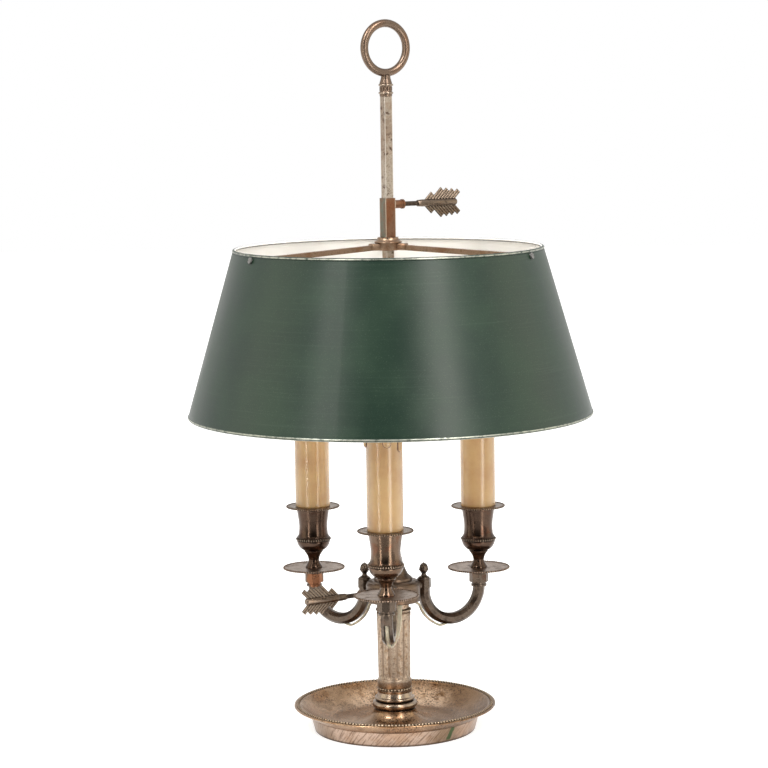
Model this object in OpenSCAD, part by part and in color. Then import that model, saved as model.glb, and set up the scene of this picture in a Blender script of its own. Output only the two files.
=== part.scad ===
// Bouillotte lamp: a dish foot, a fluted column, three candle arms and a painted shade on one
// square rod. The arms and the shade slide on the rod, and an arrow-shaped screw locks each.
// Millimetres, +Z up. The origin is the middle of the foot, on the surface it stands on.
// The front arm points along -Y. A name that ends in _z is a height above that surface.

/* [Dish foot] */
// Outer radius of the dish rim
rim_r = 85.9; // [84:0.1:95]
// Height of the rim's top above the table
rim_z = 21.8; // [20:0.1:26]
// Width of the flat rim
rim_w = 6.4; // [5:0.1:8]
// Thickness of the rim's outer edge
rim_edge = 1.6; // [1:0.1:2]
// Radius of the dish floor, where the wall begins
floor_r = 50; // [46:0.5:56]
// Height of the dish floor above the table
floor_z = 6.5; // [5.5:0.1:8]
// Thickness of the dish
dish_t = 1.8; // [1.4:0.1:2.4]
// Radius of the raised centre where it meets the floor
mound_r = 36; // [30:0.5:42]
// Radius of the raised centre's flat top
mound_top_r = 18; // [17.5:0.1:20]
// Height of the raised centre's top above the table
mound_z = 17; // [16:0.1:20]
// Outer radius of the foot ring at its top
skirt_top_r = 71.9; // [68:0.1:74]
// How much narrower the foot ring is at the table
skirt_taper = 3.4; // [1:0.1:5]
// Wall of the foot ring
skirt_t = 2; // [1.5:0.1:3]
// Thickness of the felt under the foot
felt_t = 1; // [0.8:0.1:1.5]
// Radius of the cord's hole in the outlet bush
outlet_r = 2.7; // [2:0.1:2.9]
// Wall of the outlet bush
outlet_wall = 0.9; // [0.7:0.1:1.1]

/* [Column] */
// Height of the turned column foot
column_foot_h = 19; // [17:0.1:24]
// Radius of the column foot's widest moulding
column_foot_r = 19.1; // [18:0.1:20.5]
// Height of the fluted shaft with its plain lower drum
shaft_h = 61.5; // [50:0.5:80]
// Radius of the shaft below the capital
shaft_top_r = 14.3; // [13.5:0.1:15]
// Radius of the shaft above its plain drum
shaft_low_r = 13.5; // [13.2:0.1:14.5]
// Radius of the plain drum under the flutes
drum_r = 14.5; // [14:0.1:15.5]
// Height of the plain drum under the flutes
drum_h = 7; // [4:0.5:12]
// Number of flutes
flutes = 12; // [8:1:14]
// Radius of the cutter that makes a flute
flute_r = 2.6; // [2:0.1:3]
// Depth of a flute
flute_depth = 1.1; // [0.5:0.1:1.5]
// Height of the capital
capital_h = 12.6; // [11:0.1:18]
// Radius of the capital's ring
capital_r = 15.1; // [14.5:0.1:18]
// Radius of the hollow in the column
column_bore_r = 10.5; // [9.5:0.1:11]

/* [Rod and ring handle] */
// Side of the square rod
rod_side = 7.3; // [6:0.1:8]
// Height of the rod's top
rod_top_z = 536.6; // [520:0.1:640]
// Turn of the rod's faces, the shade's frame and both screws about the rod
rod_turn = 36; // [20:1:50]
// Radius of the threaded tail under the rod
tail_r = 3; // [2.5:0.1:3.2]
// Radius of the ring handle's middle line
ring_r = 20.4; // [15:0.1:28]
// Radius of the ring handle's wire
ring_wire_r = 3.3; // [2:0.1:4]
// Height of the turned socket between rod and ring
socket_h = 16.5; // [14:0.1:24]
// Radius of the socket's two mouldings
socket_r = 6.2; // [5.8:0.1:8]

/* [Hub of the arms] */
// Radius of the hub drum
hub_r = 23; // [22:0.1:26]
// Height of the hub drum
hub_h = 18.2; // [17:0.1:24]
// Radius of the middle boss that rests on the capital
boss_r = 13.3; // [12:0.1:14]
// Wall of the hub drum
hub_wall = 2.4; // [1.8:0.1:3]
// Thickness of the hub drum's top
hub_top_t = 4.2; // [3:0.1:5]
// Height of the bell above the drum
bell_h = 29.7; // [15:0.1:40]
// Radius of the bell's foot
bell_r = 16.2; // [12:0.1:18]

/* [Arms and candles] */
// Distance of each candle from the rod
candle_r = 82.5; // [76:0.5:100]
// Width of the eight-sided arm across its flats
arm_w = 9.6; // [7:0.1:10]
// Distance from the drum's wall to the middle of an arm's inner leg
root_reach = 6.3; // [6:0.1:9]
// Width of the block at an arm's inner end
root_w = 11.3; // [10:0.1:12]
// Height of the bend's centre above the underside of the hub
bend_rise = 5.4; // [4:0.1:7]
// Height of that block
root_h = 8.9; // [8:0.1:12]
// Width of the block at an arm's outer end
tip_w = 15.4; // [13:0.1:16]
// Height of that block
tip_h = 7.9; // [7:0.1:11]
// Radius of an acorn at its foot
finial_r = 4.4; // [3.8:0.1:5]
// Height of an acorn
finial_h = 13; // [9:0.1:18]
// Radius of the wire's way in the arm
arm_bore_r = 2.5; // [2.3:0.1:2.8]
// Radius of a drip pan
pan_r = 26.9; // [20:0.1:32]
// Height of a candle cup
cup_h = 52.5; // [40:0.5:60]
// Radius of a cup at its mouth
cup_mouth_r = 13.9; // [12:0.1:16]
// Radius of a cup at its beaded edge
cup_bead_r = 15.5; // [14:0.1:18]
// Radius of a cup's neck
cup_neck_r = 5.2; // [4.4:0.1:6]
// Radius of the flange that carries the candle sleeve
flange_r = 23.3; // [18:0.1:28]
// Thickness of the pans and flanges
pan_t = 1.2; // [0.8:0.1:2]
// Radius of a candle sleeve
sleeve_r = 15; // [14:0.1:17]
// Wall of a candle sleeve
sleeve_wall = 1.5; // [1:0.1:2]
// Height of a candle sleeve
sleeve_h = 100; // [80:1:120]
// Radius of the tube that clamps pan, cup and flange to the arm
nipple_r = 3.2; // [3:0.1:3.6]
// Radius of the hole in that tube
nipple_bore_r = 2.4; // [2.2:0.1:2.6]
// Height of a lampholder
holder_h = 50; // [44:1:60]
// Radius of a bulb's threaded cap
cap_r = 7; // [6.5:0.1:7.5]
// Length of a bulb's threaded cap
cap_h = 25; // [20:0.5:28]
// Largest radius of a bulb
bulb_r = 17.5; // [14:0.1:18]
// Length of a bulb's glass
bulb_h = 68; // [50:1:75]

/* [Shade] */
// Radius of the shade's upper edge
shade_top_r = 130.2; // [110:0.5:150]
// Radius of the shade's lower edge
shade_low_r = 171.2; // [155:0.5:200]
// Height of the shade
shade_h = 141.4; // [110:0.5:180]
// Thickness of the shade's sheet
shade_t = 0.6; // [0.4:0.1:1]
// Radius of the rolled edges
hem_r = 1.5; // [1.3:0.1:2]
// Height of the shade's upper edge when it is where it is usually locked
shade_top_z = 411.3; // [405:0.5:425]
// How far the frame's screws are below the shade's rolled edge
shade_screw_drop = 2; // [1.8:0.1:5]
// Radius of the frame's screws
shade_screw_r = 1.2; // [1:0.1:1.4]
// Width of a bar of the shade's frame
bar_w = 4.4; // [3:0.1:6]
// Height of a bar of the shade's frame
bar_h = 4.4; // [3:0.1:5]
// Radius of the frame's hub
spider_r = 11.7; // [11:0.1:14]
// Side of the square collar
collar_side = 9.6; // [9.3:0.1:11]
// Height of the square collar
collar_h = 32.6; // [26:0.1:45]

/* [Arrow screws] */
// Radius of the screws' shanks
screw_r = 2; // [1.5:0.05:2.2]
// Radius of the bosses that the screws run in
screw_boss_r = 3.5; // [3.2:0.1:3.8]
// Length of those bosses
screw_boss_len = 10.6; // [8:0.1:12]
// Length of an arrow's feathered end
arrow_len = 34.5; // [32:0.5:45]
// Half the height of the feathers
arrow_half = 12.75; // [10:0.25:14]
// Distance from the rod to the upper arrow's end
shade_key_reach = 68.6; // [58:0.1:72]
// Distance from the rod to the lower arrow's end
arms_key_reach = 86; // [80:0.5:92]
// Radius of an arrow's rib
rib_r = 3.05; // [2.8:0.05:3.5]
// Feathers on each side of an arrow
barbs = 5; // [4:1:6]

/* [Hidden] */
$fn = 96;

// Clearances: a seat between fixed pieces, a running fit, and the rod in what slides on it
seat = 0.05;
running = 0.06;
rod_fit = 0.12;

// Foot
rim_in_r = rim_r - rim_w;
wall_turn = 35; // the slope at the top of the dish wall, in degrees
foot_ring_low_r = skirt_top_r - skirt_taper;
foot_ring_h = dish_z(skirt_top_r) - dish_t;
outlet_z = felt_t + outlet_r + outlet_wall + 2 * seat;
outlet_len = 4.8;
outlet_lip = 1;
washer_r = 6.6;
washer_t = 1.2;
nut_r = 5.6;
nut_h = 5;
lead_hole_r = 2.3; // the way of the mains lead from the foot to the hub
lead_hole_x = column_bore_r - lead_hole_r;

// Column
shaft_z = mound_z + column_foot_h;
capital_z = shaft_z + shaft_h;
hub_z = capital_z + capital_h;
rod_seat_z = mound_z + 8;
spigot_h = 6;
bead_h = 2.2;

// Hub and arms, with heights above the table at rest
well_r = hub_r - hub_wall;
well_z = hub_z + hub_h - hub_top_t;
bell_z = hub_z + hub_h;
arms_key_z = hub_z + hub_h / 2 - 0.2;
root_x = hub_r + root_reach;
bend_x = (root_x + candle_r) / 2;
bend_r = (candle_r - root_x) / 2;
bend_z = hub_z + bend_rise;
root_low_z = bend_z + 3.1;
root_top_z = root_low_z + root_h;
root_screw_z = root_low_z + 2.4;
root_screw_r = 1.9;
stud_r = 1.8;
stud_h = 3;
tip_low_z = bend_z + 3.05;
tip_top_z = tip_low_z + tip_h;
pan_boss_h = 3.6;
pan_z = tip_top_z + pan_boss_h;
cup_z = pan_z + pan_t;
flange_z = cup_z + cup_h;
sleeve_z = flange_z + pan_t;
sleeve_top_z = sleeve_z + sleeve_h;
holder_z = sleeve_top_z - holder_h;
nipple_grip = 8; // how far the tube screws into the arm and into the lampholder
cup_nut_h = 3;
cup_nut_r = 6;
bulb_neck_r = cap_r - 0.4;
glass_t = 0.8;
wire_half = [1.9, 1.05]; // half width and half thickness of the flat twin wire
slot_w = 2 * wire_half.x + 0.8; // the slot for the wire in the outside of the arm's bend
slot_turns = [250, 343]; // where that slot begins and ends, counted round the bend from outwards

// Shade and its frame, with heights at rest
shade_low_z = shade_top_z - shade_h;
shade_slope = atan((shade_low_r - shade_top_r) / shade_h);
spider_z = shade_top_z - 2.6;
spider_hub_h = 5.5;
lug_r = 17.5;
disc_h = 5.4;
collar_z = spider_z + spider_hub_h + disc_h;
shade_screw_z = shade_top_z - 2 * hem_r - shade_screw_drop;
tab_t = 1.8;
tab_w = 9;
tab_rise = shade_screw_drop - 0.2; // the tab reaches this far above its screw, under the rolled edge
shade_screw_grip = 1; // how far the screws reach into the bars
tab_drop = 5;
shade_key_z = collar_z + collar_h - 5.5;

// Screws
shoe_t = 1.5;
shoe_x = rod_side / 2 + running;
tip_x = shoe_x + shoe_t + running;
barb_t = 1.8;
rib_neck = 4.5; // length of the cone that leads up to the rib
shank_grip = 8;

// Colours
silver = "#a39787";
worn_brass = "#9a7350";
patina = "#5f5148";
rod_silver = "#b3aea4";
ivory = "#d8bd8c";
shade_green = "#33523f";
steel = "#8a8d90";

/* ---- shared shapes ---- */

// A smooth curve through the given points, with steps chords to a span
function smooth(p, steps = 5) = [
    for (i = [0:len(p) - 2], s = [0:steps - 1])
        span(p[max(i - 1, 0)], p[i], p[i + 1], p[min(i + 2, len(p) - 1)], s / steps),
    p[len(p) - 1]
];
function span(a, b, c, d, t) =
    (2 * b + (c - a) * t + (2 * a - 5 * b + 4 * c - d) * t * t
    + (3 * b - a - 3 * c + d) * t * t * t) / 2;

// A half-round moulding that stands out from radius r between two heights
function moulding(r, z0, z1, steps = 6) = [
    for (s = [0:steps]) let (h = (z1 - z0) / 2)
        [r + h * sin(180 * s / steps), z0 + h - h * cos(180 * s / steps)]
];

// A body turned to an outline of [radius, height] points, with a round hole
module turned(outline, bore = 0) rotate_extrude() polygon(concat(
    [[bore, outline[0].y]], outline, [[bore, outline[len(outline) - 1].y]]));

// A square bar along Z
module square_bar(side, h) translate([-side / 2, -side / 2, 0]) cube([side, side, h]);

// A round bar along +X
module bar_x(r, x0, x1) translate([x0, 0, 0]) rotate([0, 90, 0]) cylinder(r = r, h = x1 - x0);

// An upright eight-sided block, w across its flats
module block(w, z0, z1)
    translate([0, 0, z0]) rotate(22.5) cylinder(r = w / 2 / cos(22.5), h = z1 - z0, $fn = 8);

// Place a piece on arm i: 0 is the front arm, 1 the right and 2 the left
module on_arm(i) rotate(-90 + 120 * i) children();
module on_each_arm() for (i = [0:2]) on_arm(i) children();

// Place a piece on the axis of candle i
module at_candle(i) on_arm(i) translate([candle_r, 0, 0]) children();

// Place a piece on bar i of the shade's frame
module on_bar(i) rotate(rod_turn + 180 + 120 * i) children();

/* ---- foot ---- */

// Height of the dish's upper face at radius r on its wall
function dish_turn(r) = asin((r - floor_r) / (rim_in_r - floor_r) * sin(wall_turn));
function dish_z(r) =
    floor_z + (rim_z - 0.5 - floor_z) * (1 - cos(dish_turn(r))) / (1 - cos(wall_turn));
function wall_points(drop, steps = 10) = [
    for (s = [0:steps]) let (r = floor_r + (rim_in_r - floor_r) * s / steps) [r, dish_z(r) - drop]
];

// The raised centre's flank, steep at the top and level where it meets the floor
function mound_points(r0, z0, r1, z1, steps = 8) = [
    for (s = [0:steps]) let (a = 90 * s / steps)
        [r1 - (r1 - r0) * cos(a), z0 - (z0 - z1) * sin(a)]
];

function reversed(p) = [for (i = [len(p) - 1:-1:0]) p[i]];

module dish() color(worn_brass) difference() {
    rotate_extrude() polygon(concat(
        [[0, mound_z]],
        mound_points(mound_top_r, mound_z, mound_r, floor_z),
        wall_points(0),
        [
            [rim_in_r + 0.6, rim_z], [rim_r - 0.7, rim_z], [rim_r, rim_z - 0.6],
            [rim_r, rim_z - rim_edge], [rim_r - 0.7, rim_z - rim_edge - 0.4]
        ],
        reversed(wall_points(dish_t)),
        reversed(mound_points(
            mound_top_r - dish_t, mound_z - dish_t, mound_r - dish_t / 2, floor_z - dish_t)),
        [[0, mound_z - dish_t]]
    ));
    cylinder(r = tail_r + seat, h = mound_z + 1);
    translate([0, lead_hole_x, 0]) cylinder(r = lead_hole_r, h = mound_z + 1);
}

// The beaded border stands on the flat of the rim
module dish_bead_ring() color(silver) rotate_extrude() polygon(concat(
    [[rim_in_r + 2, rim_z + seat / 5]],
    reversed([for (s = [0:8]) [rim_in_r + 3.2 + 1.2 * cos(22.5 * s), rim_z + seat / 5 + 1.1 * sin(22.5 * s)]])
));

module foot_ring() color(silver) difference() {
    rotate_extrude() polygon([
        [foot_ring_low_r - skirt_t, 0], [foot_ring_low_r, 0],
        [skirt_top_r, dish_z(skirt_top_r) - dish_t - seat],
        [skirt_top_r - skirt_t, dish_z(skirt_top_r - skirt_t) - dish_t - seat]
    ]);
    outlet_hole(outlet_r + outlet_wall + seat);
}

module outlet_hole(r) translate([0, 0, outlet_z]) rotate([-90, 0, 0])
    translate([0, 0, floor_r]) cylinder(r = r, h = rim_r - floor_r);

module base_felt() color("#3d4a3c")
    cylinder(r = foot_ring_low_r - skirt_t - 2 * seat, h = felt_t);

module base_nut() color(steel) translate([0, 0, mound_z - dish_t - washer_t - nut_h - 2 * seat])
    difference() {
        cylinder(r = nut_r, h = nut_h, $fn = 6);
        translate([0, 0, -1]) cylinder(r = tail_r + seat, h = nut_h + 2);
    }

module base_washer() color(steel) translate([0, 0, mound_z - dish_t - washer_t - seat])
    difference() {
        cylinder(r = washer_r, h = washer_t);
        translate([0, 0, -1]) cylinder(r = tail_r + seat, h = washer_t + 2);
        translate([0, lead_hole_x, -1]) cylinder(r = lead_hole_r, h = washer_t + 2);
    }

// The bush lines the cord's hole at the back of the foot ring
module cord_bush() color("#2a2826") {
    outer = outlet_r + outlet_wall;
    wall_y = skirt_top_r - skirt_taper * (1 - (outlet_z + outer + outlet_lip) / foot_ring_h);
    translate([0, wall_y + 2 * seat + outlet_lip - outlet_len, outlet_z]) rotate([-90, 0, 0]) difference() {
        union() {
            cylinder(r = outer, h = outlet_len);
            translate([0, 0, outlet_len - outlet_lip]) cylinder(r = outer + outlet_lip, h = outlet_lip);
        }
        translate([0, 0, -1]) cylinder(r = outlet_r, h = outlet_len + 2);
    }
}

/* ---- column ---- */

// Mouldings of the column foot from the dish up to the seat of its bead ring
function column_foot_outline() = let (
    r = column_foot_r, h = column_foot_h, low = r - 1.6, ring = r - 2.8, neck = drum_r
) concat(
    [[low - 1, 0], [low, 0.3]],
    moulding(low - 1.2, 0.05 * h, 0.37 * h),
    [[ring - 1, 0.40 * h]],
    moulding(ring - 0.4, 0.42 * h, 0.55 * h),
    smooth([[ring - 0.9, 0.57 * h], [neck + 0.4, 0.66 * h], [neck - 0.2, 0.76 * h],
        [neck + 0.1, 0.85 * h]], 4),
    [[neck + 0.1, h - bead_h - seat], [drum_r - 1, h - bead_h - seat],
        [drum_r - 1, h - seat], [column_bore_r - seat, h - seat]]
);

module column_foot() color(silver) difference() {
    union() {
        translate([0, 0, mound_z + seat / 5]) turned(column_foot_outline());
        translate([0, 0, shaft_z - 1]) cylinder(r = column_bore_r - seat, h = spigot_h + 1);
    }
    translate([0, 0, rod_seat_z]) cylinder(r = column_bore_r - 2, h = column_foot_h + spigot_h);
    cylinder(r = tail_r + seat, h = rod_seat_z + 1);
    translate([0, lead_hole_x, 0]) cylinder(r = lead_hole_r, h = rod_seat_z + 1);
}

module column_bead_ring() color(silver) translate([0, 0, shaft_z - bead_h]) rotate_extrude()
    polygon(concat([[drum_r - 1 + seat, 0]], moulding(drum_r - 0.3, 0, bead_h - seat),
        [[drum_r - 1 + seat, bead_h - seat]]));

// One flute cutter: a round bar with domed ends, lying along the shaft's taper
module flute(h) rotate_extrude() polygon(concat(
    [for (s = [0:5]) [flute_r * sin(18 * s), flute_r * (1 - cos(18 * s))]],
    [for (s = [5:-1:0]) [flute_r * sin(18 * s), h - flute_r * (1 - cos(18 * s))]]));

module column_shaft() color(silver) difference() {
    taper = atan((shaft_top_r - shaft_low_r) / (shaft_h - drum_h));
    translate([0, 0, shaft_z]) turned([
        [drum_r, 0], [drum_r, drum_h - 0.8], [shaft_low_r, drum_h], [shaft_top_r, shaft_h - seat]
    ], column_bore_r);
    for (i = [0:flutes - 1]) rotate(360 / flutes * (i + 0.5))
        translate([shaft_low_r + flute_r - flute_depth, 0, shaft_z + drum_h + 0.8])
            rotate([0, taper, 0]) flute(shaft_h - drum_h - 2.2);
}

// The capital's plate carries the hub's boss and keeps the rod in the middle
module column_capital() color(silver) difference() {
    union() {
        translate([0, 0, capital_z]) turned(concat(
            [[shaft_top_r + 0.2, 0], [shaft_top_r + 0.2, 0.22 * capital_h]],
            [[shaft_top_r - 0.6, 0.27 * capital_h]],
            moulding(capital_r - 1, 0.33 * capital_h, 0.50 * capital_h),
            [[boss_r, 0.54 * capital_h], [boss_r, capital_h]]
        ));
        translate([0, 0, capital_z - spigot_h]) cylinder(r = column_bore_r - seat, h = spigot_h + 1);
    }
    translate([0, 0, capital_z - spigot_h - 1])
        cylinder(r = column_bore_r - 2, h = spigot_h + capital_h - 2);
    rotate(rod_turn) translate([0, 0, capital_z]) square_bar(rod_side + 2 * seat, capital_h + 1);
    translate([0, lead_hole_x, capital_z]) cylinder(r = lead_hole_r, h = capital_h + 1);
}

/* ---- rod and ring ---- */

tenon_r = 2.4;
tenon_h = 8;
ring_z = rod_top_z + socket_h + ring_r + ring_wire_r - 0.2;

module center_rod() color(rod_silver) {
    rotate(rod_turn) translate([0, 0, rod_seat_z + seat / 5])
        square_bar(rod_side, rod_top_z - rod_seat_z - seat / 5);
    translate([0, 0, rod_top_z - 1]) cylinder(r = tenon_r, h = tenon_h + 1);
    tail_low_z = mound_z - dish_t - washer_t - nut_h - 1;
    translate([0, 0, tail_low_z]) cylinder(r = tail_r, h = rod_seat_z + 1 - tail_low_z);
}

// The socket's top is hollowed to the ring's wire, which lies in it
module ring_socket() color(worn_brass) difference() {
    union() {
        translate([0, 0, rod_top_z + seat]) turned(concat(
            [[rod_side * 0.7, 0], [socket_r - 0.9, 0.08 * socket_h]],
            moulding(socket_r - 0.9, 0.12 * socket_h, 0.23 * socket_h, 4),
            [[socket_r - 0.85, 0.26 * socket_h], [socket_r - 0.85, 0.49 * socket_h]],
            moulding(socket_r - 0.9, 0.52 * socket_h, 0.63 * socket_h, 4),
            smooth([[socket_r - 1, 0.68 * socket_h], [socket_r - 1.6, 0.80 * socket_h],
                [ring_wire_r + 0.8, 0.91 * socket_h], [ring_wire_r + 0.5, socket_h + 1]], 3)
        ));
    }
    translate([0, 0, rod_top_z]) cylinder(r = tenon_r + seat, h = tenon_h + 2 * seat);
    ring_shape(ring_wire_r + seat / 2);
}

module ring_shape(wire_r) translate([0, 0, ring_z]) rotate(rod_turn) rotate([90, 0, 0])
    rotate_extrude() translate([ring_r, 0]) circle(r = wire_r);

module ring_handle() color(worn_brass) ring_shape(ring_wire_r);

/* ---- hub of the arms ---- */

screw_bore_r = screw_r + running;

// The drum is open below for the wires, with a bridge for the screw's thread
module hub_drum() color(patina) difference() {
    union() {
        translate([0, 0, hub_z + seat / 5]) difference() {
            turned([
                [hub_r - 0.6, 0], [hub_r, 0.6], [hub_r, 0.78 * hub_h], [hub_r - 0.7, 0.88 * hub_h],
                [hub_r - 2.2, 0.95 * hub_h], [hub_r - 4.5, hub_h - seat]
            ]);
            translate([0, 0, -1]) cylinder(r = well_r, h = hub_h - hub_top_t + 1);
        }
        translate([0, 0, hub_z + seat / 5]) cylinder(r = boss_r, h = hub_h - 1);
        rotate(rod_turn + 180) translate([boss_r - 2, -hub_wall * 2, hub_z + seat / 5])
            cube([well_r - boss_r + 3, hub_wall * 4, hub_h - 1]);
        screw_boss(arms_key_z, 180, hub_r - 1, hub_r + screw_boss_len);
    }
    rotate(rod_turn) translate([0, 0, hub_z - 1]) square_bar(rod_side + 2 * rod_fit, hub_h + 2);
    rotate(rod_turn + 180) translate([0, 0, arms_key_z])
        bar_x(screw_bore_r, 0, hub_r + screw_boss_len + 1);
    translate([-lead_hole_r, 0, hub_z - 1]) cube([2 * lead_hole_r, well_r - 1, 6]);
    on_each_arm() translate([0, 0, root_screw_z]) bar_x(root_screw_r + seat, well_r - 2, hub_r + 2);
}

// A turned boss around a locking screw, with a small lip at its end
module screw_boss(z, turn, x0, x1) rotate(rod_turn + turn) translate([0, 0, z]) {
    bar_x(screw_boss_r, x0, x1);
    bar_x(screw_boss_r + 0.5, x1 - 1.8, x1);
}

module hub_bell() color(patina) difference() {
    translate([0, 0, bell_z]) turned(concat(
        [[bell_r, 0], [bell_r - 0.2, 0.07 * bell_h]],
        smooth([[bell_r - 3.2, 0.15 * bell_h], [bell_r - 5, 0.27 * bell_h], [bell_r - 7.1, 0.45 * bell_h],
            [bell_r - 9, 0.72 * bell_h], [rod_side * 0.9, 0.92 * bell_h]], 4),
        [[rod_side * 0.9, bell_h]]
    ));
    rotate(rod_turn) translate([0, 0, bell_z - 1]) square_bar(rod_side + 2 * rod_fit, bell_h + 2);
}

// Three screws from inside the drum hold the arms
module arm_screws() color(steel) on_each_arm() translate([0, 0, root_screw_z]) {
    bar_x(root_screw_r, well_r - 1.4, root_x);
    bar_x(root_screw_r + 1.2, well_r - 2.4, well_r - 0.4);
}

// An acorn on each arm's inner block
module arm_finials() color(patina) on_each_arm() translate([root_x, 0, root_top_z + seat / 5]) {
    w = finial_r;
    h = finial_h;
    turned(concat(
        smooth([[w, 0], [0.55 * w, 0.12 * h], [0.44 * w, 0.25 * h], [0.72 * w, 0.39 * h],
            [0.92 * w, 0.52 * h]], 4),
        smooth([[0.84 * w, 0.58 * h], [0.7 * w, 0.7 * h], [0.5 * w, 0.85 * h],
            [0.27 * w, 0.95 * h], [0.06 * w, h]], 4)
    ));
    translate([0, 0, -stud_h]) cylinder(r = stud_r, h = stud_h + 1);
}

/* ---- arms ---- */

module arm() color(patina) difference() {
    union() {
        translate([bend_x, 0, bend_z]) rotate([-90, 0, 0]) rotate_extrude(angle = 180)
            translate([bend_r, 0]) rotate(22.5) circle(r = arm_w / 2 / cos(22.5), $fn = 8);
        translate([root_x, 0, 0]) {
            block(arm_w, bend_z, root_low_z + 1);
            block(root_w, root_low_z, root_top_z - 1.2);
            translate([0, 0, root_top_z - 2]) cylinder(r = root_w / 2 - 0.7, h = 2);
        }
        translate([0, 0, root_screw_z]) bar_x(root_w / 2 - 1.5, hub_r - 1, root_x);
        translate([candle_r, 0, 0]) {
            block(arm_w, bend_z, tip_low_z + 1);
            translate([0, 0, bend_z - 0.6]) cylinder(r = arm_w / 2 + 1.9, h = 1.6);
            translate([0, 0, bend_z + 1]) cylinder(r = arm_w / 2 + 1.2, h = tip_low_z - bend_z);
            block(tip_w, tip_low_z, tip_top_z);
        }
    }
    translate([0, 0, hub_z - 1]) cylinder(r = hub_r + seat, h = hub_h + 2);
    translate([0, 0, root_screw_z]) bar_x(root_screw_r + seat, 0, root_x + 0.5);
    translate([root_x, 0, root_top_z - stud_h - 0.3]) cylinder(r = stud_r + seat, h = stud_h + 1);
    translate([candle_r, 0, bend_z]) cylinder(r = arm_bore_r, h = tip_top_z - bend_z);
    translate([candle_r, 0, tip_top_z - nipple_grip])
        cylinder(r = nipple_r + seat, h = nipple_grip + 1);
    translate([bend_x, 0, bend_z]) rotate([-90, 0, 0]) {
        rotate_extrude(angle = 365 - slot_turns[1]) translate([bend_r, 0]) circle(r = arm_bore_r);
        rotate(360 - slot_turns[1]) rotate_extrude(angle = slot_turns[1] - slot_turns[0])
            translate([bend_r - 1, -slot_w / 2]) square([arm_w, slot_w]);
    }
}

module drip_pan() color(silver) difference() {
    translate([0, 0, pan_z]) rotate_extrude() polygon(concat(
        [[0, -pan_boss_h + seat / 5], [arm_w / 2 + 2, -pan_boss_h + seat / 5], [arm_w / 2 + 1, -1.2],
            [arm_w / 2 + 2.6, -0.2]],
        smooth([[0.55 * pan_r, -0.1], [0.85 * pan_r, 0.1], [pan_r, 0.9]], 4),
        smooth([[pan_r - 0.2, 1.7], [0.85 * pan_r, 0.1 + pan_t], [0.6 * pan_r, pan_t]], 4),
        [[0, pan_t]]
    ));
    translate([0, 0, pan_z - pan_boss_h - 1]) cylinder(r = nipple_r + seat, h = pan_boss_h + pan_t + 2);
}

// The cup's outline from its foot on the pan up to its mouth
function cup_outline() = concat(
    [[cup_neck_r + 2.1, 0.01]],
    smooth([[cup_neck_r + 2, 0.02 * cup_h], [cup_neck_r + 0.9, 0.06 * cup_h], [cup_neck_r, 0.12 * cup_h],
        [cup_neck_r + 0.7, 0.175 * cup_h], [cup_neck_r + 2.7, 0.22 * cup_h]], 4),
    moulding(cup_neck_r + 2.8, 0.227 * cup_h, 0.257 * cup_h, 4),
    [[cup_neck_r + 3.2, 0.262 * cup_h]],
    smooth([[cup_neck_r + 3.7, 0.27 * cup_h], [cup_neck_r + 5.6, 0.31 * cup_h],
        [cup_mouth_r - 1.2, 0.36 * cup_h], [cup_bead_r - 1.3, 0.42 * cup_h],
        [cup_bead_r - 1, 0.455 * cup_h]], 4),
    moulding(cup_bead_r - 0.5, 0.462 * cup_h, 0.481 * cup_h, 4),
    smooth([[cup_mouth_r + 0.4, 0.495 * cup_h], [cup_mouth_r - 0.9, 0.545 * cup_h],
        [cup_mouth_r - 1.45, 0.61 * cup_h], [cup_mouth_r - 1.65, 0.69 * cup_h],
        [cup_mouth_r - 1.3, 0.78 * cup_h], [cup_mouth_r - 0.4, 0.90 * cup_h],
        [cup_mouth_r, 0.955 * cup_h]], 4),
    [[cup_mouth_r + 0.3, 0.965 * cup_h], [cup_mouth_r - 0.1, cup_h - seat / 5]]
);

module cup() color(patina) translate([0, 0, cup_z]) difference() {
    turned(cup_outline(), nipple_r + seat);
    translate([0, 0, 0.36 * cup_h]) cylinder(r = cup_mouth_r - 3.7, h = cup_h);
}

module flange() color(silver) difference() {
    translate([0, 0, flange_z]) rotate_extrude() polygon(concat(
        [[0, 0]],
        smooth([[0.6 * flange_r, 0], [0.86 * flange_r, 0.3], [flange_r, 1.2]], 4),
        smooth([[flange_r - 0.2, 1.9], [0.86 * flange_r, 0.3 + pan_t], [sleeve_r + 0.4, pan_t]], 4),
        [[0, pan_t]]
    ));
    translate([0, 0, flange_z - 1]) cylinder(r = nipple_r + seat, h = pan_t + 2);
}

// The tubes that clamp pans, cups and flanges, and carry the lampholders
module cup_nipples() color(steel) for (i = [0:2]) at_candle(i) difference() {
    low_z = tip_top_z - nipple_grip + seat;
    translate([0, 0, low_z]) cylinder(r = nipple_r, h = holder_z + nipple_grip - low_z);
    translate([0, 0, low_z - 1]) cylinder(r = nipple_bore_r, h = holder_z + nipple_grip - low_z + 2);
}

module cup_nuts() color(steel) for (i = [0:2]) at_candle(i) translate([0, 0, sleeve_z + seat / 5])
    difference() {
        cylinder(r = cup_nut_r, h = cup_nut_h, $fn = 6);
        translate([0, 0, -1]) cylinder(r = nipple_r + seat, h = cup_nut_h + 2);
    }

module sleeve() color(ivory) translate([0, 0, sleeve_z + seat / 5]) difference() {
    cylinder(r = sleeve_r, h = sleeve_h - seat / 5);
    translate([0, 0, -1]) cylinder(r = sleeve_r - sleeve_wall, h = sleeve_h + 2);
}

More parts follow.
